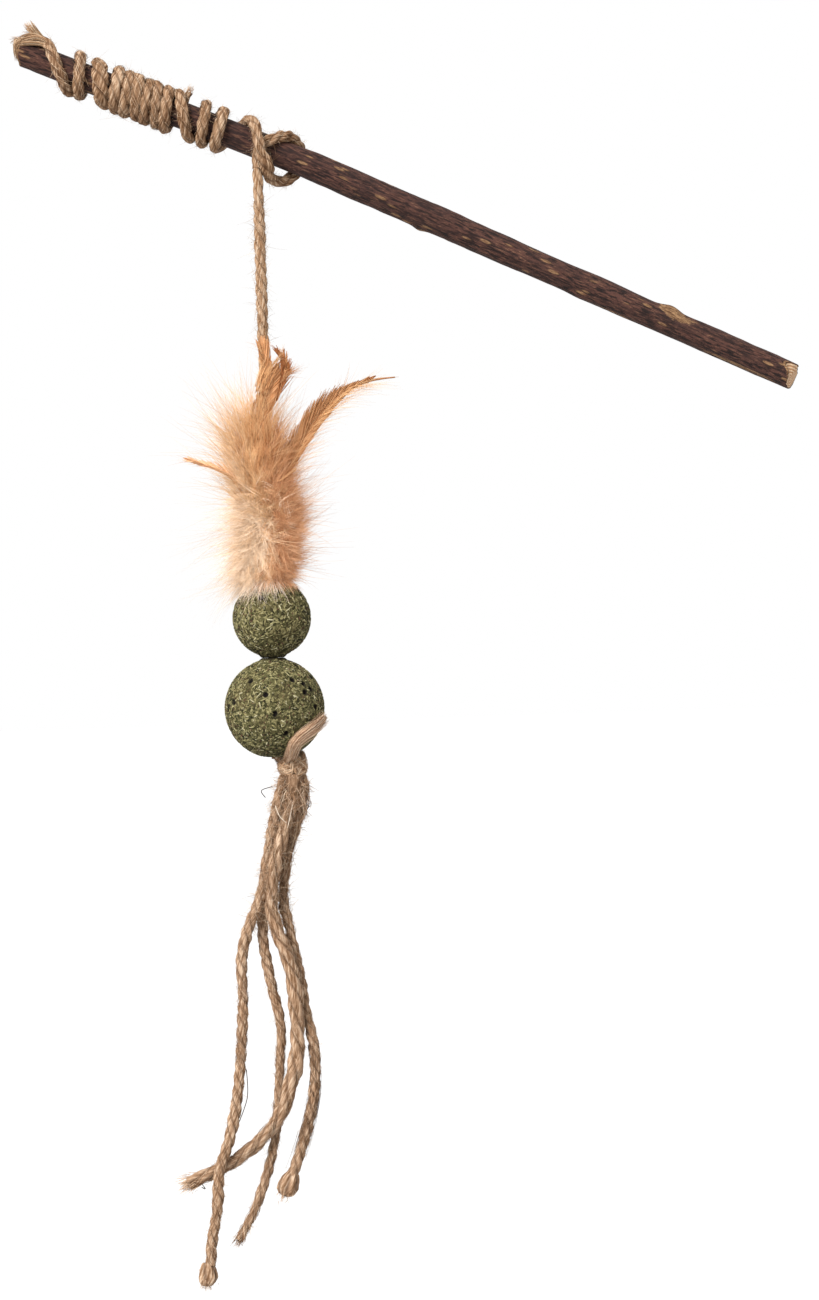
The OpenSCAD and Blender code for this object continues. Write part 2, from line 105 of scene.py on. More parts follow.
class Finish:
    # one material: fixed values on the shader, and nodes for what changes over the surface
    def __init__(self, name, fixed):
        self.material = bpy.data.materials.new(name)
        self.material.use_nodes = True
        self.tree = self.material.node_tree
        self.shader = self.tree.nodes["Principled BSDF"]
        for key, value in fixed.items():
            self.shader.inputs[key].default_value = value

    def join(self, socket, value):
        # a link where the value comes from a node, or else the plain value
        if isinstance(value, Link):
            self.tree.links.new(value.socket, socket)
        else:
            socket.default_value = value

    def node(self, kind, settings=None, inputs=None, output=0):
        # any shader node, with its settings, the stops of a colour ramp, and its inputs
        made = self.tree.nodes.new(kind)
        for key, value in (settings or {}).items():
            if key == "stops":
                while len(made.color_ramp.elements) < len(value):
                    made.color_ramp.elements.new(0.5)
                for element, (place, colour) in zip(made.color_ramp.elements, value):
                    element.position, element.color = place, colour
            else:
                setattr(made, key, value)
        for key, value in (inputs or {}).items():
            self.join(made.inputs[key], value)
        return Link(self, made.outputs[output])

    def attribute(self, name, output="Vector"):
        # a field that the mesh carries
        return self.node("ShaderNodeAttribute", {"attribute_name": name}, {}, output)

    def place(self):
        # the object's own coordinates, in metres
        return self.node("ShaderNodeTexCoord", {}, {}, "Object")

    def stretched(self, place, scale):
        # coordinates times a scale for each axis
        return self.node("ShaderNodeVectorMath", {"operation": "MULTIPLY"}, {0: place, 1: scale})

    def noise(self, place, scale, detail=3.0, rough=0.55):
        # cloudy noise, about 0.5 on average
        values = {"Vector": place, "Scale": scale, "Detail": detail, "Roughness": rough}
        return self.node("ShaderNodeTexNoise", {}, values)

    def drawn(self, place, scale, detail=3.0, rough=0.55):
        # noise drawn out by a scale for each axis
        return self.noise(self.stretched(place, scale), 1.0, detail, rough)

    def steps(self, value, low, high):
        # 0 below low, 1 above high, smooth between
        values = {"Value": value, "From Min": low, "From Max": high}
        return self.node("ShaderNodeMapRange", {"interpolation_type": "SMOOTHSTEP"}, values)

    def mix(self, factor, first, second, blend="MIX"):
        # the first colour at factor 0 and the second at factor 1
        values = {0: factor, 6: first, 7: second}
        return self.node("ShaderNodeMix", {"data_type": "RGBA", "blend_type": blend}, values, 2)

    def layer(self, base, colour, value, low, high, share=None):
        # a colour over the base where the value is past a step, by a share of it
        factor = self.steps(value, low, high)
        return self.mix(factor * share if share else factor, base, colour)

    def feed(self, **links):
        # values for inputs of the shader, whose names have _ for a space
        for key, value in links.items():
            self.join(self.shader.inputs[key.replace("_", " ")], value)
        return self

    def bump(self, height, strength, distance):
        # fine relief from a height
        values = {"Height": height, "Strength": strength, "Distance": distance}
        self.join(self.shader.inputs["Normal"], self.node("ShaderNodeBump", {}, values))


light = {"sky": 1.0, "sun": 6.5, "sunAngle": math.radians(22), "sunFrom": (-0.45, -0.75, 0.65), "gain": 2.35}


def ink(red, green, blue, gain=None):
    # a colour read off the photograph, made linear and divided by the light that falls on it
    shade = np.array([red, green, blue]) / 255
    linear = np.where(shade > 0.04045, ((shade + 0.055) / 1.055) ** 2.4, shade / 12.92)
    return (*(float(v) for v in linear / (gain or light["gain"])), 1.0)


def inks(*shades, gain=None):
    # several inks under one light, apart from those that bring their own
    return [ink(*shade, gain) if len(shade) == 3 else ink(*shade) for shade in shades]


# Mesh helpers


def unit(v):
    # a vector over its length
    return v / np.maximum(np.linalg.norm(v, axis=-1, keepdims=True), 1e-9)


def grid(*fields):
    # fields of different shapes as the coordinates of one set of points
    return np.stack(np.broadcast_arrays(*fields), -1)


def smooth(x, low, high):
    # 0 below low, 1 above high, smooth between
    t = np.clip((x - low) / (high - low), 0, 1)
    return t * t * (3 - 2 * t)


def beside(centre, n, b, x, y):
    # points beside a path: x along its first cross direction and y along its second
    return centre + x[..., None] * n + y[..., None] * b


def circle(sides):
    # even angles once round
    return np.linspace(0, 2 * np.pi, sides, endpoint=False)


def noiseAt(p, seed=0):
    # value noise: random numbers on a lattice, joined by smooth steps, from -1 to 1
    cell = np.floor(p).astype(np.int64)
    f = p - cell
    f = f * f * (3 - 2 * f)
    total = 0.0
    for corner in np.ndindex(2, 2, 2):
        at = cell + np.array(corner)
        h = at[..., 0] * 73856093 ^ at[..., 1] * 19349663 ^ at[..., 2] * 83492791 ^ (seed + 1) * 2654435761
        h = ((h ^ (h >> 13)) * 1274126177) & 0xFFFFFFFF
        h = (h ^ (h >> 16)) & 0xFFFF
        weight = np.prod(np.where(np.array(corner) == 1, f, 1 - f), axis=-1)
        total = total + weight * (h / 32767.5 - 1)
    return total


def makePiece(name, points, faces, finish, home, more=None, node=None, faceFinish=None):
    # one mesh: faces are arrays of quads and triangles; home holds its slot, which is not used, and its body; node the
    # solid it stands for
    mesh = bpy.data.meshes.new(name)
    loops = np.concatenate([f.ravel() for f in faces]).astype(np.int32)
    sizes = np.concatenate([np.full(len(f), f.shape[1]) for f in faces]).astype(np.int32)
    mesh.vertices.add(len(points))
    mesh.vertices.foreach_set("co", (np.asarray(points) / 1000).astype(np.float32).ravel())
    mesh.loops.add(len(loops))
    mesh.loops.foreach_set("vertex_index", loops)
    mesh.polygons.add(len(sizes))
    mesh.polygons.foreach_set("loop_start", np.concatenate([[0], np.cumsum(sizes)[:-1]]).astype(np.int32))
    mesh.polygons.foreach_set("loop_total", sizes)
    mesh.polygons.foreach_set("use_smooth", np.ones(len(sizes), bool))
    for made in finish if isinstance(finish, list) else [finish]:
        mesh.materials.append(made.material)
    if faceFinish is not None:
        mesh.polygons.foreach_set("material_index", np.asarray(faceFinish, np.int32))
    mesh.update(calc_edges=True)
    kinds = {1: ("FLOAT", "value"), 3: ("FLOAT_VECTOR", "vector"), 4: ("FLOAT_COLOR", "color")}
    for key, values in (more or {}).items():
        values = np.asarray(values, np.float32)
        kind, field = kinds[values.size // len(values)]
        mesh.attributes.new(key, kind, "POINT").data.foreach_set(field, values.ravel())
    piece = newObject(name, mesh)
    slot, body = home
    if body:
        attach(piece, body)
    if node:
        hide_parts(node)
    return piece


def closedTube(rings, ends):
    # the points of a tube and its two end points, quads between its rings, and a fan at each end
    rows, columns = rings.shape[:2]
    i, j = np.meshgrid(np.arange(rows - 1), np.arange(columns), indexing="ij")
    a, b = (i * columns + j).ravel(), (i * columns + (j + 1) % columns).ravel()
    j, far, total = np.arange(columns), (rows - 1) * columns, rows * columns
    after = (j + 1) % columns
    caps = [[np.full(columns, total), after, j], [np.full(columns, total + 1), far + j, far + after]]
    faces = np.stack([a, b, b + columns, a + columns], 1), np.concatenate([np.stack(cap, 1) for cap in caps])
    return np.concatenate([rings.reshape(-1, 3), ends]), faces


def capped(field):
    # a field on the rings of a tube, and its values at the two end points
    return np.concatenate([field.reshape(-1, field.shape[-1]), field[:1, 0], field[-1:, 0]])


def ringed(path, n, b, x, y):
    # a tube whose rings are x along one cross direction of the path and y along the other
    return closedTube(beside(path[:, None], n[:, None], b[:, None], x, y), path[[0, -1]])


def headings(path):
    # the direction from the point before to the point after
    return unit(np.gradient(path, axis=0))


def section(path, reference):
    # two directions square to the path, the first one square to the reference too
    run = headings(path)
    n = unit(np.cross(run, reference))
    return n, np.cross(run, n)


def runOf(path):
    # the length of the path up to each of its points
    return np.concatenate([[0], np.cumsum(np.linalg.norm(np.diff(path, axis=0), axis=1))])


def sampled(at, run, field):
    # a field given along a run, at other places of it
    return np.stack([np.interp(at, run, field[:, k]) for k in range(3)], -1)


def respaced(curve, step):
    # points an even step apart along a curve
    run = runOf(curve)
    return sampled(np.linspace(0, run[-1], max(4, int(round(run[-1] / step)) + 1)), run, curve)


def evenPath(knots, step=0.3):
    # a cubic curve through the knots, whose slope at each is half the way between its neighbours, in even steps
    p = np.asarray(knots, float)
    a, b, c, d = np.vstack([p[:1], p[:-2]]), p[:-1], p[1:], np.vstack([p[2:], p[-1:]])
    t = np.linspace(0, 1, 24, endpoint=False)[None, :, None]
    a, b, c, d = (v[:, None] for v in (a, b, c, d))
    curve = 0.5 * (2 * b + (c - a) * t + (2 * a - 5 * b + 4 * c - d) * t ** 2 + (3 * b - a - 3 * c + d) * t ** 3)
    return respaced(np.vstack([curve.reshape(-1, 3), p[-1:]]), step)


def mapped(rows, y):
    # photograph pixels to points at one depth
    x, z = onPhoto([r[0] for r in rows], [r[1] for r in rows])
    return np.stack([x, np.full(len(x), 1.0) * y, z], 1)


def traced(rows, y, step=0.3):
    # an even path through photograph pixels at one depth
    return evenPath(mapped(rows, y), step)


# Hairs, threads and fibres: every set is its points, its faces and its tint


def threadPoints(centre, wide, thick, spare, taper=0.85):
    # three-sided sections round given centre lines, which thin towards the tip
    t = np.linspace(0, 1, centre.shape[1])
    along = unit(np.gradient(centre, axis=1))
    u = unit(np.cross(np.cross(along, spare[:, None]), along))
    v = np.cross(along, u)
    fall, corner = (1 - taper * t ** 1.5)[None, :, None], np.radians([90, 210, 330])
    x, y = (size[:, None, None] * fall * way(corner)[None, None] for size, way in ((wide, np.cos), (thick, np.sin)))
    return beside(centre[:, :, None], u[:, :, None], v[:, :, None], x, y).reshape(-1, 3)


def opaque(tint):
    # colours with a fourth value of 1
    return np.concatenate([tint, np.ones((len(tint), 1))], 1)


def threads(points, colours, steps, tipShade=1.0):
    # sides and two end triangles of every thread, and its colour, lighter or darker towards the tip
    count = len(colours)
    i, j = np.meshgrid(np.arange(steps), np.arange(3), indexing="ij")
    a, b = (i * 3 + j).ravel(), (i * 3 + (j + 1) % 3).ravel()
    quads, caps = np.stack([a, b, b + 3, a + 3], 1), np.array([[2, 1, 0], [steps * 3, steps * 3 + 1, steps * 3 + 2]])
    offset = np.arange(count)[:, None, None] * (steps + 1) * 3
    shade = np.linspace(1, tipShade, steps + 1)[None, :, None, None]
    tint = np.broadcast_to(colours[:, None, None, :3] * shade, (count, steps + 1, 3, 3)).reshape(-1, 3)
    return points, [(quads + offset).reshape(-1, 4), (caps + offset).reshape(-1, 3)], opaque(tint)


def hairs(root, aim, curl, length, wide, colours, steps=4, thick=None, side=None, taper=0.85, tipShade=1.0):
    # each hair is root + length (t aim + t squared curl)
    n = len(root)
    t = np.linspace(0, 1, steps + 1)
    length, wide = np.broadcast_to(length, n), np.broadcast_to(wide, n)
    thick = wide if thick is None else np.broadcast_to(thick, n)
    centre = root[:, None] + length[:, None, None] * (
        t[None, :, None] * aim[:, None] + (t ** 2)[None, :, None] * curl[:, None])
    spare = np.roll(aim, 1, axis=1) + [0.013, 0.37, 0.11] if side is None else side
    return threads(threadPoints(centre, wide, thick, spare, taper), colours, steps, tipShade)


def spread(colours, count, rng, wander=0.08):
    # colours picked at random from a short list, each a little lighter or darker
    base = np.array(colours)[rng.integers(0, len(colours), count), :3]
    return base * (1 + wander * rng.standard_normal((count, 1)))


def rod(path, n, b, size, sides, colour):
    # a round tube of one colour along a path
    phi = circle(sides)[None]
    points, faces = ringed(path, n, b, size * np.cos(phi), size * np.sin(phi))
    return points, faces, np.tile(colour, (len(points), 1))


def cutThreads(centre, thickness, taper, toneList, rng, wander=0.08):
    # threads of random thickness and tone round given centre lines
    count, steps = len(centre), centre.shape[1] - 1
    wide = thickness * rng.uniform(0.6, 1.3, count)
    points = threadPoints(centre, wide, wide, unit(rng.standard_normal((count, 3))), taper)
    return threads(points, spread(toneList, count, rng, wander), steps)


def stretches(rng, count, latest, reach, most, steps):
    # for every fibre, even places from its start to its end
    first = rng.uniform(0, latest, (count, 1))
    last = np.minimum(first + rng.uniform(*reach, (count, 1)), most)
    return first, last, first + (last - first) * np.linspace(0, 1, steps + 1)[None]


def dressed(name, parts, home, finish=None, node=None):
    # several sets as one piece
    starts = np.cumsum([0] + [len(part[0]) for part in parts])
    points, tint = (np.concatenate([part[k] for part in parts]) for k in (0, 2))
    faces = [np.concatenate([part[1][k] + start for part, start in zip(parts, starts)]) for k in (0, 1)]
    return makePiece(name, points, faces, finish or fibreFinish, home, {"tint": tint}, node)


def lock(path, count, radius, flare, thickness, toneList, rng, startMost, reach, reference=sideways, flat=1.0,
    hollow=0.0, wave=0.15, steps=7):
    # fibres side by side along a path: each keeps its place in the bundle, which widens by flare, and is cut unevenly
    share, rows = stretches(rng, count, startMost, reach, 1.0, steps)[2], np.arange(len(path))
    centre, n, b = (sampled(share * rows[-1], rows, field) for field in (path, *section(path, reference)))
    angle = rng.uniform(0, 2 * np.pi, (count, 1)) + wave * share * 6 * rng.standard_normal((count, 1))
    size = radius * np.sqrt(rng.uniform(hollow ** 2, 1, (count, 1))) * (1 + flare * share) * (
        1 + wave * share * rng.standard_normal((count, 1)))
    centre = beside(centre, n, b, size * np.cos(angle), flat * size * np.sin(angle))
    return cutThreads(centre, thickness, 0.6, toneList, rng)


# Twine

twine = {"diameter": 2.6, "radius": 1.68, "plies": 3, "lay": 13.0, "sides": 36, "step": 0.34, "depth": 0.39,
    "wander": 0.09}
onWand, onLure, onTassel = ("twine", "wand"), ("twine", "lure"), ("strand", "tassel")


def plyReach(phase):
    # how far the nearest ply's circle reaches from the twine's axis, at an angle from the first groove
    third, inset = 2 * np.pi / twine["plies"], twine["depth"]
    alpha = np.mod(phase, third) - third / 2
    return inset * np.cos(alpha) + np.sqrt(np.maximum((1 - inset) ** 2 - (inset * np.sin(alpha)) ** 2, 0))


def twinePiece(name, path, reference, home, finish, seed, node, startRun=0.0, wide=1.0, thick=1.0, grow=1.0,
    loose=0.0):
    # three round plies that turn with the run, uneven by noise. wide, thick and grow may change along the path.
    rows = len(path)
    run = startRun + runOf(path)
    wide, thick, grow = (np.broadcast_to(v, rows)[:, None] for v in (wide, thick, grow))
    theta = circle(twine["sides"])[None]
    turn = -2 * np.pi * run[:, None] / twine["lay"] * (1 - loose)
    fibre = theta + 0.25 * turn
    wave = noiseAt(np.stack([run * 0.12, run * 0, run * 0 + seed], 1), seed)[:, None]
    reach = plyReach(theta - turn + 0.35 * wave)
    grain = grid(2.2 * np.cos(theta), 2.2 * np.sin(theta), run[:, None] * 0.55)
    strands = grid(3.4 * np.cos(fibre), 3.4 * np.sin(fibre), run[:, None] * 0.22 + seed)
    uneven = 1 + twine["wander"] * (wave + noiseAt(grain, seed + 7)) + 0.055 * noiseAt(strands, seed + 9)
    far = twine["radius"] * grow * reach * uneven
    n, b = section(path, reference)
    points, faces = ringed(path, n, b, far * np.cos(theta) * thick, far * np.sin(theta) * wide)
    lie = grid(np.cos(fibre), np.sin(fibre), run[:, None] * 0.1 + seed)
    # painted shade: how deep a point lies in a groove between plies, for the finish to darken it
    groove = np.clip((1 - reach) / (1 - reach.min() + 1e-9), 0, 1) ** 1.3
    more = {"lie": capped(lie), "groove": capped(groove[..., None])}
    return makePiece(name, points, faces, finish, home, more, node)


def layPiece(name, path, reference, home, count, seed, reach, size=None, wide=1.0, thick=1.0, loose=0.0,
    thickness=0.06):
    # long fibres that lie on the plies and turn with them: each keeps its angle on the nearest ply's circle
    rng = np.random.default_rng(seed)
    run = runOf(path)
    first, last, at = stretches(rng, count, run[-1] - reach[0], reach, run[-1], 6)
    wide, thick = (np.interp(at, run, np.broadcast_to(v, len(path))) for v in (wide, thick))
    phase = rng.uniform(0, 2 * np.pi, (count, 1)) + 0.05 * (at - first) * rng.standard_normal((count, 1))
    lifted = rng.uniform(0.97, 1.06, (count, 1)) + (rng.uniform(0, 1, (count, 1)) ** 6) * 0.35 * (
        (at - first) / (last - first + 1e-6)) ** 2
    far = (size or twine["radius"]) * plyReach(phase) * lifted
    theta = phase - 2 * np.pi * at / twine["lay"] * (1 - loose)
    centre, n, b = (sampled(at, run, field) for field in (path, *section(path, reference)))
    centre = beside(centre, n, b, far * np.cos(theta) * thick, far * np.sin(theta) * wide)
    dressed(name, [cutThreads(centre, thickness, 0.7, layTones, rng, 0.12)], home)


def fuzzPiece(name, path, reference, home, count, seed, reach, radius=None, wide=1.0, thick=1.0, toneList=None,
    thickness=0.04, hug=1.0):
    # stray fibres: each starts on the twine's surface and leaves it at a slant
    rng = np.random.default_rng(seed)
    at = rng.integers(1, len(path) - 1, count)
    n, b = (field[at] for field in section(path, reference))
    theta = rng.uniform(0, 2 * np.pi, count)[:, None]
    wide, thick = (np.broadcast_to(v, len(path))[at][:, None] for v in (wide, thick))
    out, around = unit(np.cos(theta) * n + np.sin(theta) * b), np.cos(theta) * b - np.sin(theta) * n
    root = path[at] + 0.86 * (radius or twine["radius"]) * (np.cos(theta) * n * thick + np.sin(theta) * b * wide)
    aim = unit(0.55 * hug * out * rng.uniform(0.2, 1.3, (count, 1)) + headings(path)[at] * rng.choice(
        [-1, 1], (count, 1)) * rng.uniform(0.3, 1.0, (count, 1)) + 0.5 * around * rng.standard_normal((count, 1)))
    curl = 0.6 * rng.standard_normal((count, 3)) - 0.3 * (1 - hug) * out
    length = rng.uniform(*reach, count) * rng.choice([0.5, 0.8, 1, 1.25], count)
    wide = rng.uniform(0.6, 1.2, count) * thickness
    dressed(name, [hairs(root, aim, curl, length, wide, spread(toneList or juteTones, count, rng))], home)


layTones = inks((226, 188, 152, 1.9), (198, 156, 120, 2.0), (240, 210, 178, 1.8), (150, 108, 76, 2.2),
    (176, 132, 98, 2.1), (122, 84, 58, 2.3))
juteTones = inks((232, 198, 162), (206, 166, 128), (184, 142, 104), (246, 218, 186), (158, 116, 82, 1.8), gain=1.7)
# the golden tones of the knot's swirls, lifted with painted light by a low gain, since the knot lies in the ball's
# shade
brightTones = inks((242, 206, 170), (226, 182, 142), (206, 158, 118, 1.4), (250, 222, 190), gain=1.35)
paleTones = inks((238, 206, 174), (218, 178, 142), (196, 154, 118), (248, 224, 196), (176, 134, 100), gain=1.5)
strayFibres = {"thickness": 0.055, "hug": 0.15}


def juteFinish(name, *shades):
    # fibres run along the twine: fine stretched noise picks between three tones, and painted shade darkens the grooves
    # between the plies
    dark, middle, pale, groove = inks(*shades)
    made = Finish(name, {"Specular IOR Level": 0.15})
    lie = made.attribute("lie")
    fine, broad = made.drawn(lie, (4.6, 4.6, 2.4), 4.0, 0.62), made.drawn(lie, (1.5, 1.5, 1.2), 3.0, 0.5)
    tone = fine * 0.8 + broad * 0.2
    base = made.layer(made.layer(dark, middle, tone, 0.4, 0.52), pale, tone, 0.51, 0.62)
    # painted shade: the groove colour goes into the grooves between plies, where shade falls
    base = made.layer(base, groove, made.attribute("groove", "Fac") + (fine - 0.5) * 0.8, 0.3, 1.1, 0.75)
    made.feed(Base_Color=base, Roughness=0.7 + 0.25 * broad)
    made.bump(fine * 0.7 + broad * 0.3, 0.8, 0.0006)
    return made


wovenJute = juteFinish("jute_twine", (116, 78, 48), (186, 144, 108), (246, 212, 178), (84, 54, 33))
dropJute = juteFinish("jute_line", (160, 116, 78), (216, 175, 138), (250, 222, 192), (116, 78, 50))
looseJute = juteFinish("jute_tassel", (136, 98, 66), (202, 162, 128), (246, 214, 182), (92, 60, 40))
tailJute = juteFinish("jute_tail", (176, 130, 100), (216, 174, 142), (240, 208, 178), (150, 106, 80))
# painted shade: a darker copy of the jute for the head lump, which lies in shade inside the bundle
shadedJute = juteFinish("jute_shaded", (104, 74, 50), (156, 120, 90), (204, 168, 136), (66, 44, 30))


def tintFinish(name, roughness, paintedGlow):
    # fibres, barbs and flecks: the colour of each one is in its tint attribute, and paintedGlow makes it also emit that
    # colour as painted light
    made = Finish(name, {"Roughness": roughness, "Emission Strength": paintedGlow, "Specular IOR Level": 0.1})
    stops = [(0.3, (0.55, 0.55, 0.55, 1)), (0.7, (1, 1, 1, 1))]
    cloud = made.node("ShaderNodeValToRGB", {"stops": stops}, {"Fac": made.noise(made.place(), 900.0, 2.0)})
    base = made.mix(0.35, made.attribute("tint", "Color"), cloud, "MULTIPLY")
    return made.feed(Base_Color=base, Emission_Color=base) if paintedGlow else made.feed(Base_Color=base)


fibreFinish = tintFinish("loose_fibre", 0.8, 0.0)
# painted light: the barbs glow with their own colour, standing in for light scattered through the down and vanes
barbFinish = tintFinish("feather_barb", 0.7, 0.18)
fleckFinish = tintFinish("herb_fleck", 0.9, 0.0)

# Stick. swell: shares of the length and factors. underTwine: where the bark's relief fades out and comes back

stick = {"radius": 4.1, "gripTilt": math.radians(23.1), "tipTilt": math.radians(25.5), "bendAt": 60.0,
    "bendHalf": 6.0, "tipLength": 155.6, "tipRadius": 4.0, "tipRound": 27.0, "hitchAt": 39.4, "scarFromTip": 41.0,
    "sides": 80, "step": 0.44, "seatGap": 0.05, "turnGap": 0.58, "buttLength": 6.2, "tipSlant": 17, "slantMost": 1.17,
    "tipPull": 1.2, "tipReach": 9, "buttReach": 7, "buttPull": 0.1, "chipDepth": 2.9, "chipAt": 312, "chipWidth": 32,
    "swell": ([0, 0.3, 0.45, 0.58, 0.72, 1, 2], [1, 1, 1.05, 1.08, 1.02, 1, 1]), "underTwine": (-34, -30, 54, 58)}


def tilted(angle):
    # the directions along a stretch of the stick and up from it
    return np.array([math.cos(angle), 0, -math.sin(angle)]), np.array([math.sin(angle), 0, math.cos(angle)])


gripAlong, gripUp = tilted(stick["gripTilt"])
tipAlong, tipUp = tilted(stick["tipTilt"])
pitch = twine["diameter"] + stick["turnGap"]
windingFrom = stick["hitchAt"] - 22.14 * pitch
buttAt, tipAt = windingFrom - stick["buttLength"], stick["bendAt"] + stick["tipLength"]
scarAt = tipAt - stick["scarFromTip"]
seatRadius = stick["radius"] + stick["seatGap"] + twine["diameter"] / 2


def onStick(along, angle, lift=0.0):
    # place on the twine's seat round the grip: angle 0 is the front, 90 below, 180 behind, -90 on top
    along, angle = np.asarray(along, float)[..., None], np.radians(np.asarray(angle, float))[..., None]
    r = seatRadius + np.asarray(lift, float)[..., None]
    return along * gripAlong - r * np.cos(angle) * sideways - r * np.sin(angle) * gripUp


def stickCentre(at):
    # two straight lines joined by a quadratic curve at the bend
    corner, half = stick["bendAt"] * gripAlong, stick["bendHalf"]
    t = np.clip((at - stick["bendAt"] + half) / (2 * half), 0, 1)[:, None]
    a, c = corner - half * gripAlong, corner + half * tipAlong
    curve = (1 - t) ** 2 * a + 2 * t * (1 - t) * corner + t ** 2 * c
    before, after = at[:, None] * gripAlong, corner + (at[:, None] - stick["bendAt"]) * tipAlong
    return np.where(t <= 0, before, np.where(t >= 1, after, curve)), t


def barkFinish():
    # long streaks of dark bark, pale lenticels and worn places, from the stick's own coordinates
    made = Finish("bark", {"Specular IOR Level": 0.2})
    grain = made.attribute("grain")
    streak, fine = made.drawn(grain, (0.27, 1.6, 1.6), 6.0, 0.66), made.drawn(grain, (0.6, 4.5, 4.5), 4.0, 0.6)
    patch, both = made.drawn(grain, (0.05, 0.35, 0.35), 3.0, 0.5), fine * 0.6 + streak * 0.4
    dark, middle, dull, pale = inks((34, 17, 14), (94, 59, 49), (62, 38, 33), (148, 106, 82), gain=2.1)
    base = made.layer(dark, middle, streak, 0.42, 0.55)
    base = made.layer(made.layer(base, dull, patch, 0.46, 0.58, 0.45), pale, both, 0.54, 0.62, 0.62)
    values = {"Vector": made.stretched(grain, (0.12, 0.44, 0.44)), "Scale": 1.0, "Randomness": 1.0}
    lens = made.node("ShaderNodeTexVoronoi", {"feature": "F1"}, values)
    rare = made.drawn(grain, (0.05, 0.17, 0.17), 2.0)
    spot = made.steps(lens + (fine - 0.5) * 0.25, 0.26, 0.18) * made.steps(rare, 0.41, 0.5)
    base = made.mix(spot * 0.55, base, made.layer(*inks((136, 96, 62), (204, 160, 114), gain=1.9), fine, 0.4, 0.6))
    worn = made.steps(made.attribute("worn", "Fac") + (fine - 0.5) * 0.9, 0.45, 0.75)
    base = made.mix(worn, base, made.layer(ink(104, 68, 42), ink(200, 156, 112), both, 0.4, 0.6))
    made.feed(Base_Color=base, Roughness=0.62 + 0.3 * fine)
    made.bump(streak * 0.6 + fine * 0.4 + spot * 0.25, 1.0, 0.0008)
    return made


def cutFinish():
    # pale wood with growth rings, and a fibrous torn grain
    made = Finish("cut_wood", {"Roughness": 0.75, "Specular IOR Level": 0.2})
    grain = made.attribute("grain")
    split = made.node("ShaderNodeSeparateXYZ", {}, {"Vector": grain}).socket.node
    y, z = (Link(made, split.outputs[axis]) for axis in "YZ")
    radius = (y * y + z * z).maths("SQRT")
    rough = made.drawn(grain, (1.0, 3.0, 3.0), 4.0)
    ring = ((radius + rough * 0.5) * 7.5).maths("SINE")
    base = made.layer(*inks((190, 142, 102), (240, 208, 172), gain=1.6), ring, -0.6, 0.9)
    base = made.layer(base, ink(160, 112, 76, 1.6), rough, 0.5, 0.75, 0.5)
    made.feed(Base_Color=made.layer(base, ink(92, 58, 40), radius, 3.35, 3.75))
    made.bump(ring * 0.3 + rough * 0.7, 0.6, 0.0003)
    return made


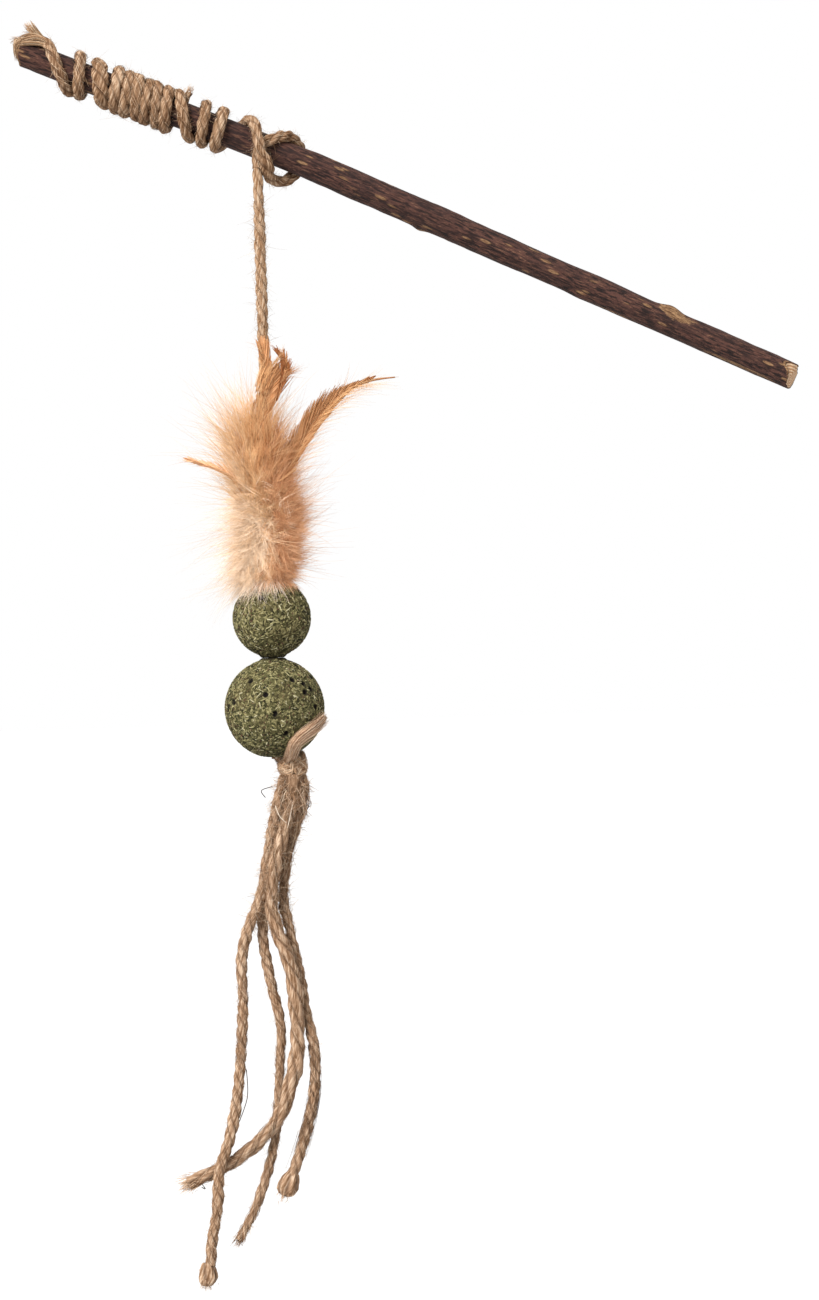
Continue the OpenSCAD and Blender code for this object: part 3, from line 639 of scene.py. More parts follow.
def makeStick():
    # a ring of points for every step: the plain radius, a swelling, ridges, knots and the branch scar
    at = np.linspace(buttAt, tipAt, int((tipAt - buttAt) / stick["step"]))
    centre, bend = stickCentre(at)
    along, up = unit((1 - bend) * gripAlong + bend * tipAlong), unit((1 - bend) * gripUp + bend * tipUp)
    angle, roundAt = circle(stick["sides"]), tipAt - stick["tipRound"]
    front, top = -np.cos(angle), -np.sin(angle)
    plain = np.interp(at, [stick["bendAt"], roundAt], [stick["radius"], stick["tipRadius"]])
    swell = np.interp((at - buttAt) / (roundAt - buttAt), *stick["swell"])
    radius = (plain * swell)[:, None] * np.ones_like(angle)[None]
    grain = grid(at[:, None], radius * front, radius * top)
    ridge = noiseAt(grain * [0.10, 0.85, 0.85], 3) * 0.16 + noiseAt(grain * [0.28, 2.1, 2.1], 5) * 0.10
    rise, full, fall, bare = stick["underTwine"]
    freed = (1 - 0.75 * smooth(at, rise, full) * (1 - smooth(at, fall, bare)))[:, None]
    radius = radius + (ridge + noiseAt(grain * [0.06, 0.22, 0.22], 8) * 0.16) * freed - 0.02

    def turned(face):
        # angles counted from a face, half a turn to each side
        return np.mod(angle - math.radians(face) + np.pi, 2 * np.pi) - np.pi

    def bumps(*rows):
        # bell-shaped rises: each at a place and an angle, with its height, its length and its breadth in degrees
        return sum(high * np.exp(-((at - place) / long) ** 2)[:, None] * np.exp(
            -(turned(face) / math.radians(broad)) ** 2)[None] for place, face, high, long, broad in rows)

    radius += bumps((scarAt - 1.5, 285, 0.95, 3.2, 34), (scarAt + 4, 300, -0.35, 3.5, 30), (94, 92, 0.6, 1.9, 18),
        (146, 70, 0.3, 3.5, 25), (118, 250, 0.3, 4.0, 25))
    worn = bumps((scarAt + 1.5, 318, 1.25, 5.0, 30), (scarAt - 3.5, 300, 0.8, 2.5, 22), (tipAt - 17, 66, 1.0, 15.0, 15),
        (tipAt - 58, 76, 0.72, 12.0, 12), (tipAt, 330, 1.2, 1.1, 60), (95, 88, 1.0, 2.6, 16),
        (buttAt, 20, 1.0, 0.8, 120))
    rings = beside(centre[:, None], sideways, up[:, None], radius * front, radius * top)
    # ends: the tip is sawn at a slant to the front, with a chip out of its upper side; the butt is torn
    slant = np.tan(math.radians(stick["tipSlant"])) * front * stick["tipRadius"] + 0.25 * noiseAt(
        np.stack([angle * 0, front * 5, top * 5], -1), 2)
    chip = stick["chipDepth"] * np.exp(-(turned(stick["chipAt"]) / math.radians(stick["chipWidth"])) ** 2)
    torn = 0.5 * noiseAt(np.stack([angle * 0, front * 2.2, top * 2.2], -1), 12) - 1.5 * top + 0.5 * front
    tipPull = np.minimum(slant, stick["slantMost"]) - stick["tipPull"] - chip
    pull = smooth(at, tipAt - stick["tipReach"], tipAt)[:, None] * tipPull[None] + smooth(
        -at, -(buttAt + stick["buttReach"]), -buttAt)[:, None] * (stick["buttPull"] + torn)[None]
    rings = rings + pull[..., None] * along[:, None]
    grain = grid(at[:, None] + pull, radius * front, radius * top)

    def cap(edge, edgeGrain, inward):
        # the cut face: rings that shrink to the middle, slightly dished and rough
        size = np.array([0.97, 0.86, 0.7, 0.5, 0.3, 0.12])[:, None, None]
        points, place = (field.mean(0) + (field - field.mean(0)) * size for field in (edge, edgeGrain))
        rough = 0.16 * noiseAt(place * [0.2, 2.4, 2.4], 21) - 0.22 * (1 - size[..., 0] ** 2)
        return points + (inward * rough)[..., None], place

    tipCap, tipGrain = cap(rings[-1], grain[-1], 1.0)
    buttCap, buttGrain = cap(rings[0], grain[0], -1.0)
    allRings = np.concatenate([buttCap[::-1], rings, tipCap])
    allGrain = np.concatenate([buttGrain[::-1], grain, tipGrain])
    points, faces = closedTube(allRings, allRings[[0, -1]].mean(1))
    count = len(buttCap)
    cut = np.ones((len(allRings) - 1, stick["sides"]), int)
    cut[count:-count] = 0
    more = {"grain": np.concatenate([allGrain.reshape(-1, 3), allGrain[[0, -1]].mean(1)]),
        "worn": np.append(np.pad(worn, ((count, count), (0, 0))).ravel(), [0, 0])}
    makePiece("bark_stick", points, faces, [barkFinish(), cutFinish()], ("bark", "wand"), more, "stick",
        np.append(cut.ravel(), np.ones(2 * stick["sides"], int)))


makeStick()
print("stick made")

# Twine on the grip: for every turn, its places on top and below, in pitches from the hitch

grip = {"meet": -2.6, "meetLift": 0.1, "stepsPerTurn": 72, "lastShare": 0.665, "cutTurn": 9, "cutShift": 0.9,
    "flat": (1.93, 2.05, 2.5, 2.75), "busy": (2.9, 3.2, 8.6, 9.2), "first": (0.5, 1.2),
    "turns": [(-22.14, -18.39), (-18.57, -17.34), (-16.75, -14.86)] + [
        (-14.69 + k + shift, -13.71 + k - shift) for k, shift in enumerate([0.0, 0.11, -0.07, 0.1, -0.1, 0.05])] + [
        (-8.69, -6.2), (-5.84, -4.99), (-4.08, -3.55)]}
meetPoint = onStick(stick["hitchAt"] + pitch * grip["meet"], 180.0, grip["meetLift"])


def windingPath():
    # each turn crosses the front from its top place to its bottom place, and goes up behind to the next
    top, low = np.array(grip["turns"]).T
    after = np.append(top[1:], 2 * grip["meet"] - low[-1])
    t = np.arange(0, len(top) - 1 + grip["lastShare"], 1 / grip["stepsPerTurn"])
    k = t.astype(int)
    f = t - k
    g = np.where(f < 0.5, 2 * f, 2 * f - 1)
    ease = 0.5 * g + 0.5 * (1 - np.cos(np.pi * g)) / 2
    place = np.where(f < 0.5, top[k] + (low[k] - top[k]) * ease, low[k] + (after[k] - low[k]) * ease)
    rng = np.random.default_rng(4)
    lift = 0.12 + 0.10 * np.interp(t, np.arange(0, 14, 0.3), rng.standard_normal(47))
    sway = 0.10 * np.interp(t, np.arange(0, 14, 0.37), rng.standard_normal(38))
    path = onStick(stick["hitchAt"] + pitch * place + sway, -90 + 360 * t, lift)
    return np.vstack([path, meetPoint[None]]), np.append(t, t[-1])


def makeGrip():
    # the twine along the winding: broad and flat where it crosses, a little thicker at its start, uneven all along
    path, turn = windingPath()
    even = respaced(path, twine["step"])
    turnAt = np.interp(runOf(even), runOf(path), turn)
    flat, busy = (smooth(turnAt, *grip[key][:2]) * (1 - smooth(turnAt, *grip[key][2:])) for key in ("flat", "busy"))
    first = 1 - smooth(turnAt, *grip["first"])
    uneven = np.interp(turnAt, np.arange(0, 14, 0.21), np.random.default_rng(9).uniform(-1, 1, 67))
    size = {"wide": 1 + 0.5 * flat + 0.12 * first + 0.12 * busy + 0.09 * uneven, "thick": 1 - 0.15 * flat - 0.04 * busy}
    along = (even, gripAlong, onWand)
    twinePiece("grip_twine", *along, wovenJute, 11, "grip_winding", **size)
    fuzzPiece("grip_fuzz", *along, 2200, 12, (0.5, 2.0), **size)
    fuzzPiece("grip_fibres", *along, 1100, 13, (1.2, 3.2), **size, **strayFibres)
    layPiece("grip_lay", *along, 1400, 14, (3.0, 8.0), **size, thickness=0.085)


makeGrip()
print("grip twine made")

# Balls, with the pin holes of the photograph in pixels. side: where the other ball lies

balls = {"pinRadius": 0.9, "pinDepth": 0.8, "press": 0.19, "pressed": (3.1, 4.7), "clear": 1.1, "bore": 1.7,
    "mouth": 2.4, "mouthDepth": 1.2, "boreRows": 12, "fleckLength": [0.5, 0.9, 1.6], "fleckWidth": [0.11, 0.17, 0.30],
    "fleckShare": [0.66, 0.29, 0.05], "paleShare": [0.22, 0.46, 1.0],
    "small": {"radius": 11.7, "z": -157.5155, "columns": 250, "flecks": 3000, "seed": 41, "side": -1,
        "pins": [(262, 598)]},
    "large": {"radius": 14.9, "z": -184.5155, "columns": 296, "flecks": 5200, "seed": 42, "side": 1,
        "pins": [(251.6, 680.3), (293.6, 679.3), (266.7, 694), (276.3, 713.3), (287.1, 733.1), (313, 677.1),
            (311.8, 688.5), (304.4, 683), (306.2, 691.6), (316.6, 706.9), (234.5, 702), (229, 706), (297.1, 663.9)]}}
dullFlecks = inks((140, 134, 88), (96, 98, 58), (168, 158, 108), (70, 72, 40), (58, 58, 34), (128, 92, 74))
paleFlecks = inks((196, 186, 132), (216, 206, 154), (182, 170, 116), (230, 220, 176))

# Hitch, as places along the stick in twine diameters from the hitch, angles, and lifts in diameters

hitchShare = [(-1.95, -100, 0.1), (-1.15, -50, 0.5), (-0.2, -15, 1.05), (0.75, 12, 1.3), (1.95, 32, 1.38),
    (2.65, 62, 1.12), (3.5, 90, 0.98), (4.55, 113, 0.6), (5.2, 140, 0.15), (5.35, 172, 0), (5.0, 208, 0),
    (4.2, 238, 0), (3.3, 268, 0.05), (2.35, 298, 0), (1.5, 328, 0)]
line = {"x": 36.241, "y": -5.45, "stickZ": -15.458, "bendA": -24.5155, "bendB": -31.5155, "feathers": -75.6155,
    "riseTilt": math.radians(20), "hitchEnd": 1.6, "neckTop": 1.7, "blendTop": 1.4, "blendHalf": 1.6, "knotGap": 0.35}


def linePoint(z, dx=0.0):
    # a point on the hanging line, or beside it
    return np.array([line["x"] + dx, line["y"], z])


def makeHitchAndLine():
    # one run of twine from behind the stick through the hitch and down to the knot, cut where joints need it
    bendA, bendB, end, reach = line["bendA"], line["bendB"], line["bendA"] + line["hitchEnd"], line["blendHalf"]
    rise = math.cos(line["riseTilt"]) * gripUp + math.sin(line["riseTilt"]) * gripAlong
    place, angle, lift = np.array(hitchShare).T
    wrap = onStick(stick["hitchAt"] + place * twine["diameter"], angle, lift * twine["diameter"] + grip["meetLift"])
    even = evenPath(np.vstack([meetPoint, meetPoint + twine["diameter"] * rise, wrap,
        linePoint(line["stickZ"] - 0.4, 1.04), linePoint(bendA + 4.2, 0.05), linePoint(end)]), twine["step"])
    run = runOf(even)
    wide = 1.04 + 0.26 * np.exp(-((run / run[-1] - 0.37) / 0.05) ** 2) + 0.05 * np.sin(run * 0.9)
    along = (even, gripAlong, onWand)
    twinePiece("hitch_twine", *along, wovenJute, 31, "hitch", wide=wide)
    fuzzPiece("hitch_fuzz", *along, 700, 32, (0.5, 2.0))
    fuzzPiece("hitch_fibres", *along, 650, 36, (1.2, 3.0), **strayFibres)

    def stretch(name, top, bottom, body, node, grow=1.0):
        # the same twine straight down between two heights, whose plies go on from the hitch's
        z = np.arange(top, bottom - 0.01, -twine["step"])
        z = np.append(z, bottom) if z[-1] - bottom > 0.05 else z
        path = grid(line["x"], line["y"], z)
        return twinePiece(name, path, sideways, ("twine", body), dropJute, 33, node, run[-1] + (end - top),
            grow=grow), path

    half = (bendA + bendB) / 2
    neck = stretch("line_neck_twine", bendA + line["neckTop"], half, None, "drop_neck")[0]
    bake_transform(neck)
    drop, path = stretch("line_twine", half, line["feathers"], None, "drop_cord")
    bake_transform(drop)
    fuzzPiece("line_fuzz", path[12:], sideways, onLure, 900, 35, (0.5, 1.9))
    fuzzPiece("line_fibres", path[12:], sideways, onLure, 420, 37, (1.6, 4.0), thickness=0.055, hug=0.12)
    low = balls["large"]["z"] - balls["large"]["radius"] - line["knotGap"]
    stretch("lure_twine", line["feathers"], low, "lure", "lure_cord", 0.95)


makeHitchAndLine()
print("hitch and line made")


def herbFinish():
    # pressed leaf: fine grains of olive, dark and straw, and painted shade in the pinholes, the bore and where the
    # balls meet
    made = Finish("pressed_herb", {"Specular IOR Level": 0.15})
    place = made.place()
    grains = made.node("ShaderNodeTexVoronoi", {"feature": "F1"}, {"Vector": place, "Scale": 1500.0}, "Color")
    grey = made.node("ShaderNodeRGBToBW", {}, {"Color": grains})
    fine, broad = made.noise(place, 1400.0, 5.0, 0.65), made.noise(place, 160.0, 3.0, 0.5)
    pick = grey * 0.55 + fine * 0.6
    base = made.layer(ink(44, 44, 24), ink(103, 99, 61), pick, 0.38, 0.56)
    base = made.layer(base, ink(176, 166, 116), pick, 0.60, 0.76)
    base = made.layer(base, ink(116, 98, 62), broad, 0.35, 0.7, 0.35)
    # painted shade: near black where the hole attribute is high
    base = made.mix(made.attribute("hole", "Fac"), base, ink(22, 14, 12))
    made.feed(Base_Color=base, Roughness=0.86 + 0.12 * fine)
    made.bump(grey * 0.4 + fine * 0.6, 0.9, 0.0006)
    return made


def pinDirections(pins, z, radius):
    # where each pinhole of the photograph lies on the ball, and its twin on the far side
    x, up = onPhoto([p[0] for p in pins], [p[1] for p in pins])
    flat = np.stack([x - line["x"], up - z], 1) / radius
    far = np.linalg.norm(flat, axis=1, keepdims=True)
    flat = np.where(far > 0.97, flat / far * 0.97, flat)
    near = np.stack([flat[:, 0], -np.sqrt(1 - (flat ** 2).sum(1)), flat[:, 1]], 1)
    return np.concatenate([near, near * [-1, -1, 1]])


def makeBall(size, finish):
    # rows run down the outside from one mouth to the other and back up through the bore, so it has no poles
    ball = balls[size]
    radius, seed, columns, home = ball["radius"], ball["seed"], ball["columns"], ("herb", size + "_bead")
    pins, seat = pinDirections(ball["pins"], ball["z"], radius), ball["side"] * (radius + balls["press"])
    rows, edge, phi = columns // 2, math.asin(balls["mouth"] / radius), circle(columns)
    beta = np.linspace(edge, math.pi - edge, rows)[:, None]
    out = grid(np.sin(beta) * np.cos(phi), np.sin(beta) * np.sin(phi), np.cos(beta))
    grit = (0.11 * noiseAt(out * radius * 1.25, seed) + 0.07 * noiseAt(out * radius * 2.6, seed + 1)
        + 0.05 * noiseAt(out * radius * 0.3, seed + 2))
    near = radius * np.arccos(np.clip(np.max(out @ pins.T, axis=-1), -1, 1))
    sunk = 1 - smooth(near, balls["pinRadius"] * 0.6, balls["pinRadius"])
    # painted shade for the inside of each pinhole
    hole = 1 - smooth(near, balls["pinRadius"] * 0.85, balls["pinRadius"] * 1.2)
    fade = np.sin(math.pi * np.linspace(0, 1, rows)) ** 0.2
    outer = out * (radius - 0.1 + grit * fade[:, None] - balls["pinDepth"] * sunk)[..., None]
    # the end towards the other ball is pressed a little flat where the two lie together, and painted shade marks it
    # there
    flat = (1 - smooth(np.hypot(outer[..., 0], outer[..., 1]), *balls["pressed"])) * (outer[..., 2] * seat > 0)
    outer[..., 2] += flat * (seat - 0.5 * np.sign(seat) * np.abs(grit) - outer[..., 2])
    level = abs(outer[-1, 0, 2]) - balls["mouthDepth"]
    inner = np.linspace(-level, level, balls["boreRows"])[:, None]
    mesh = np.concatenate([outer, grid(np.cos(phi) * balls["bore"], np.sin(phi) * balls["bore"], inner)])
    total, middle = len(mesh), linePoint(ball["z"])
    i, j = np.meshgrid(np.arange(total), np.arange(columns), indexing="ij")
    a, b, c, d = (p % total * columns + q % columns for p, q in ((i, j), (i, j + 1), (i + 1, j + 1), (i + 1, j)))
    # painted shade: the pinholes, the pressed end and the whole bore are marked to be darkened
    shade = np.append(np.maximum(hole, 0.8 * flat), np.full(balls["boreRows"] * columns, 0.9))
    makePiece(size + "_herb_ball", (mesh + middle).reshape(-1, 3), [np.stack([a, d, c, b], -1).reshape(-1, 4)], finish,
        home, {"hole": shade}, size + "_ball")
    # flecks of stem and leaf, pressed into the surface at every angle
    rng = np.random.default_rng(seed)
    spot = unit(rng.standard_normal((ball["flecks"], 3)))
    spot = spot[np.abs(spot[:, 2]) < math.cos(edge) - 0.02]
    clear = np.min(np.stack([radius * np.arccos(np.clip(spot @ pin, -1, 1)) for pin in pins]), 0)
    spot = spot[clear > balls["clear"]]
    lie, count = unit(np.cross(spot, rng.standard_normal(spot.shape))), len(spot)
    kind = rng.choice(3, count, p=balls["fleckShare"])
    length = np.array(balls["fleckLength"])[kind] * rng.uniform(0.6, 1.35, count)
    wide = np.array(balls["fleckWidth"])[kind] * rng.uniform(0.7, 1.4, count)
    root = spot * (radius - 0.02) - lie * length[:, None] / 2 + middle
    dull, pale = spread(dullFlecks, count, rng, 0.12), spread(paleFlecks, count, rng, 0.1)
    isPale = rng.uniform(0, 1, count) < np.array(balls["paleShare"])[kind]
    flecks = hairs(root, lie, -spot * 0.02, length, wide, np.where(isPale[:, None], pale, dull), 2, 0.11,
        np.cross(spot, lie), 0.25)
    dressed(size + "_herb_ball_flecks", [flecks], home, fleckFinish)


herb = herbFinish()
makeBall("small", herb)
makeBall("large", herb)
print("balls made")

# Feathers

tones = {"rust": inks((182, 124, 80), (194, 140, 96), (168, 108, 68), (204, 154, 112), gain=1.2),
    "tan": inks((214, 168, 120), (202, 150, 102), (226, 184, 138), (194, 138, 92), gain=1.1),
    "gold": inks((213, 175, 132), (203, 161, 116), (223, 188, 148), (193, 148, 106), gain=1.15),
    "blush": inks((216, 184, 154), (206, 170, 138), (226, 198, 170), gain=1.2),
    "cream": inks((240, 209, 176), (246, 221, 194), (232, 196, 158), (242, 214, 182), gain=1.25),
    "pale": inks((238, 216, 194), (246, 229, 212), (230, 204, 178), gain=1.25),
    # brown is the down's own colour, brightened with painted light by a gain below 1, as the right side lies away from
    # the sun
    "brown": inks((196, 150, 112), (184, 134, 96), (210, 168, 132), (172, 122, 86), gain=0.93),
    "blade": inks((184, 126, 82), (196, 140, 94), (174, 116, 74), (206, 152, 108), gain=1.4),
    "dark": inks((156, 96, 56), (144, 86, 50), (168, 108, 66), gain=1.5)}


def vane(spine, stops, widths, normal, tone, rng, slant, ragged=0.12, quill=0.22, split=0.5, lean=2.0):
    # barbs leave both sides of the quill at a slant and lie side by side; clumps lean together, so the vane splits
    path = evenPath(spine, 0.22)
    count, run = len(path), headings(path)
    across = unit(np.cross(normal, run))
    face, share = np.cross(run, across), np.linspace(0, 1, count)
    parts = []
    for side, width in zip((-1, 1), widths):
        beat = np.arange(0, count + 11, 11)
        clump = np.interp(np.arange(count), beat, rng.standard_normal(len(beat)))
        angle = np.radians(slant + lean * clump + 1.0 * rng.standard_normal(count))[:, None]
        aim = np.cos(angle) * run + side * np.sin(angle) * across - 0.1 * face
        length = np.interp(share, stops, width) / np.sin(angle[:, 0]) * (1 + ragged * rng.standard_normal(count)) * (
            1 + split * 0.2 * clump)
        curl = -side * 0.10 * across + 0.04 * face * rng.standard_normal((count, 1)) + 0.08 * run
        keep = length > 0.35
        colours = spread(tone, keep.sum(), rng, 0.04) * (1 + 0.05 * clump[keep])[:, None]
        parts.append(hairs(path[keep], unit(aim[keep]), curl[keep], length[keep], 0.26, colours, 4, 0.035, run[keep],
            0.72, 1.12))
    return parts + [rod(path, across, face, (quill * (1 - 0.85 * share))[:, None], 5, tones["dark"][1])]


# Down. heart and shift: its radius and its place to the side, at shares of its height

fluff = {"low": -146.3, "high": -98.0, "depth": 11,
    "heart": ([0, 0.08, 0.3, 0.6, 0.8, 0.92, 1], [6.4, 7.2, 7.6, 7.4, 7.0, 4.6, 1.0]),
    "shift": ([0, 0.17, 0.3, 0.43, 0.56, 0.7, 0.84, 1], [-1.6, -0.6, 0.2, -0.2, -1.4, -2.4, -2.6, -1.0]),
    "cut": ([0, 0.12, 0.22, 0.36, 0.5, 0.8], [0.1, -0.05, -0.22, -0.1, 0.45, 0.6])}
quarters = [0, 0.25, 0.5, 0.75, 1]


def fluffTint(share, bearing, rng, blur=0.17):
    # cream on the left, gold in the middle and brown on the right; above, a paler left and a rust right
    x = np.cos(bearing) + blur * rng.standard_normal(len(share))
    left, right = smooth(-x - np.interp(share, *fluff["cut"]), 0.0, 0.3)[:, None], smooth(x, -0.05, 0.25)[:, None]
    top = smooth(share + 0.1 * rng.standard_normal(len(share)), 0.4, 0.8)[:, None]
    amounts = left, right, 1 - left - right
    low, high = (sum(amount * spread(tones[name], len(share), rng, 0.05) for amount, name in zip(amounts, names))
        for names in (("cream", "brown", "gold"), ("blush", "rust", "tan")))
    return (1 - top) * low + top * high


def downy(points, faces, tint):
    # what stands out far in front or behind is drawn in, so that the bunch keeps its depth, and no hair is white
    off, most = points[:, 1] - line["y"], fluff["depth"]
    far = np.abs(off)
    points[:, 1] = line["y"] + np.sign(off) * np.where(far > most, most + (far - most) * 0.5, far)
    return points, faces, np.clip(tint, 0, 0.95)


def plumes(rng, tufts, each, bearings, span, reach, lift, droop=0.12, thickness=0.05, root=(0.5, 1.0), steps=3,
    loose=0.12, tint=None, tipShade=1.1, wild=1.0):
    # tufts of hairs leave the heart between two heights (span, as shares) and two bearings; every tuft has its
    # own heading and curl, and its hairs differ a little from them. reach and lift hold for quarters of the height.
    share = rng.uniform(*span, tufts)
    bearing = np.radians(rng.uniform(*bearings, tufts))
    z = fluff["low"] + (fluff["high"] - fluff["low"]) * share
    flat = np.stack([np.cos(bearing), np.sin(bearing), np.zeros(tufts)], 1)
    rise = np.radians(np.interp(share, quarters, lift) + wild * 14 * rng.standard_normal(tufts))[:, None]
    side = np.cross(flat, -downwards)
    aim = unit(np.cos(rise) * flat - np.sin(rise) * downwards + 0.36 * wild * side * rng.standard_normal((tufts, 1)))
    far = np.interp(share, *fluff["heart"]) * rng.uniform(*root, tufts)
    start = grid(line["x"] + np.interp(share, *fluff["shift"]), line["y"], z) + flat * far[:, None]
    length = np.interp(share, quarters, reach) * rng.uniform(0.6, 1.15, tufts)
    curl = np.array([0, 0, droop]) * rng.uniform(0, 1.6, (tufts, 1)) + 0.2 * wild * rng.standard_normal((tufts, 3))
    colour = fluffTint(share, bearing, rng) if tint is None else spread(tint, tufts, rng, 0.06)
    start, aim, curl, length, colour = (np.repeat(v, each, axis=0) for v in (start, aim, curl, length, colour))
    count = tufts * each
    start = start + 0.5 * rng.standard_normal((count, 3))
    aim = unit(aim + loose * rng.standard_normal((count, 3)))
    curl = curl + 0.07 * rng.standard_normal((count, 3))
    length = length * rng.uniform(0.55, 1.1, count)
    wide = thickness * rng.uniform(0.6, 1.25, count)
    colour = np.clip(colour * (1 + 0.07 * rng.standard_normal((count, 1))), 0, 0.93)
    return downy(*hairs(start, aim, curl, length, wide, colour, steps, tipShade=tipShade))


def overBall(rng, count, bearings, tint, reach):
    # hairs that lie down over the top of the small ball: they start along its surface and bend round with it
    radius = balls["small"]["radius"]
    bearing = np.radians(rng.uniform(*bearings, count))
    polar = np.radians(rng.uniform(16, 40, count))
    radial = np.stack([np.sin(polar) * np.cos(bearing), np.sin(polar) * np.sin(bearing), np.cos(polar)], 1)
    down = np.stack([np.cos(polar) * np.cos(bearing), np.cos(polar) * np.sin(bearing), -np.sin(polar)], 1)
    start = linePoint(balls["small"]["z"]) + radial * (radius + rng.uniform(0.25, 1.3, (count, 1)))
    length = rng.uniform(*reach, count)
    aim = unit(down + 0.25 * np.cross(radial, down) * rng.standard_normal((count, 1)) + 0.08 * radial)
    curl = -radial * (length / (2.1 * radius))[:, None] * 0.9
    points, faces, tint = hairs(start, aim, curl, length, 0.05 * rng.uniform(0.6, 1.2, count),
        spread(tint, count, rng, 0.06), tipShade=1.1)
    return points, faces, np.clip(tint, 0, 0.95)


def feathery(name, slot, parts, node=None):
    # sets of barbs, joined as one piece of the lure
    dressed(name, parts, (slot, "lure"), barbFinish, node)


def makeHeart():
    # a lumpy heart of matted down round the line, so that the hairs have something behind them
    z = np.linspace(fluff["low"] + 0.4, fluff["high"], 80)
    share = (z - fluff["low"]) / (fluff["high"] - fluff["low"])
    radius = np.interp(share, *fluff["heart"]) * 0.93
    middle = line["x"] + np.interp(share, *fluff["shift"])[:, None]
    phi = circle(84)
    shape = grid(np.cos(phi)[None] * 2.6, np.sin(phi)[None] * 2.6, z[:, None] * 0.3)
    far = radius[:, None] * (1 + 0.16 * noiseAt(shape, 5) + 0.10 * noiseAt(shape * 2.7, 6))
    rings = grid(middle + far * np.cos(phi), line["y"] + far * np.sin(phi), z[:, None])
    points, faces = closedTube(rings, rings[[0, -1]].mean(1))
    level = (points[:, 2] - fluff["low"]) / (fluff["high"] - fluff["low"])
    bearing = np.arctan2(points[:, 1] - line["y"], points[:, 0] - line["x"] - np.interp(level, *fluff["shift"]))
    tint = opaque(fluffTint(level, bearing, np.random.default_rng(50), 0.05) * 0.92)
    feathery("down_heart", "tan_feather", [(points, faces, tint)])


def wispsAlong(path, rng, count, span, aimOf, reach, toneList, thickness=0.05, curl=0.15):
    # loose barbs that leave a blade between two shares of its length
    index = (rng.uniform(*span, count) * (len(path) - 1)).astype(int)
    aim = unit(aimOf(headings(path)[index], rng) + 0.16 * rng.standard_normal((count, 3)))
    return hairs(path[index], aim, curl * rng.standard_normal((count, 3)), rng.uniform(*reach, count),
        thickness * rng.uniform(0.6, 1.2, count), spread(toneList, count, rng))


def bladeOf(rows):
    # a spine through photograph pixels at a depth off the line, brought nearer along it, with its shares and widths
    spine = mapped(rows["pixels"], line["y"] + rows["depth"])
    spine[:, 1] += np.linspace(*rows.get("nearer", (0, 0)), len(spine))
    return spine, rows["shares"], rows["widths"]


def downOf(rng, feather):
    # the plumes of every row, then the hairs over the ball
    return [plumes(rng, **row) for row in feather["down"]] + [overBall(rng, *row) for row in feather["over"]]


# One dictionary for each feather and its down. over: count, bearings, tint and reach of hairs over the ball

rightFeather = {
    "blade": {"depth": -1.0, "nearer": (-3.5, -2.5), "pixels": [(272, 560), (276, 515), (283, 484), (291, 464),
            (300, 447), (311, 429), (324, 412), (338, 398), (354, 387), (374, 381), (399, 378)],
        "shares": [0, 0.16, 0.26, 0.36, 0.46, 0.56, 0.66, 0.76, 0.88, 1],
        "widths": ([0.4, 1.4, 2.2, 2.8, 3.1, 3.1, 2.3, 1.2, 0.4, 0.1],
            [0.3, 1.4, 3.2, 4.4, 4.7, 4.0, 2.6, 1.3, 0.4, 0.1])},
    "tip": {"depth": -3.9, "pixels": [(352, 389), (362, 383), (376, 377)], "shares": [0, 0.5, 1],
        "widths": ([1.0, 0.7, 0.05], [0.8, 0.5, 0.05])},
    "below": (0.55, 0, -0.55), "over": [],
    "down": [
        dict(tufts=540, each=8, bearings=(-62, 44), span=(0, 0.72), reach=(5, 6, 6.5, 7, 7),
            lift=(-30, 10, 26, 44, 60), root=(0.75, 1.05), wild=1.3),
        dict(tufts=330, each=2, bearings=(-58, 48), span=(0.02, 0.85), reach=(11, 15, 17, 16, 15),
            lift=(-10, 4, 20, 38, 56), droop=0.14, thickness=0.055, loose=0.05, tint=tones["brown"], tipShade=0.92,
            steps=5)]}


def makeRightFeather():
    # the blade curves up and out, with loose barbs along its lower side, over the brown down of the right
    rng, below = np.random.default_rng(51), np.array(rightFeather["below"])
    blade, tip = bladeOf(rightFeather["blade"]), bladeOf(rightFeather["tip"])
    path = evenPath(blade[0])
    parts = vane(*blade, [0, -1.0, 0.15], tones["blade"], rng, 23, 0.07, split=0.15, lean=1.2) + [
        wispsAlong(path, rng, 330, (0.3, 0.84), lambda run, r: run + below * r.uniform(0.1, 0.9, (len(run), 1)),
            (6, 14), tones["tan"]),
        wispsAlong(path, rng, 90, (0.3, 0.75), lambda run, r: run - below * r.uniform(0.2, 0.6, (len(run), 1)), (4, 8),
            tones["blade"])]
    parts += vane(*tip, [0, -1.0, 0.1], tones["dark"], rng, 16, quill=0.12)
    feathery("right_feather", "tan_feather", parts, "feather_right")
    feathery("right_down", "tan_feather", downOf(rng, rightFeather))


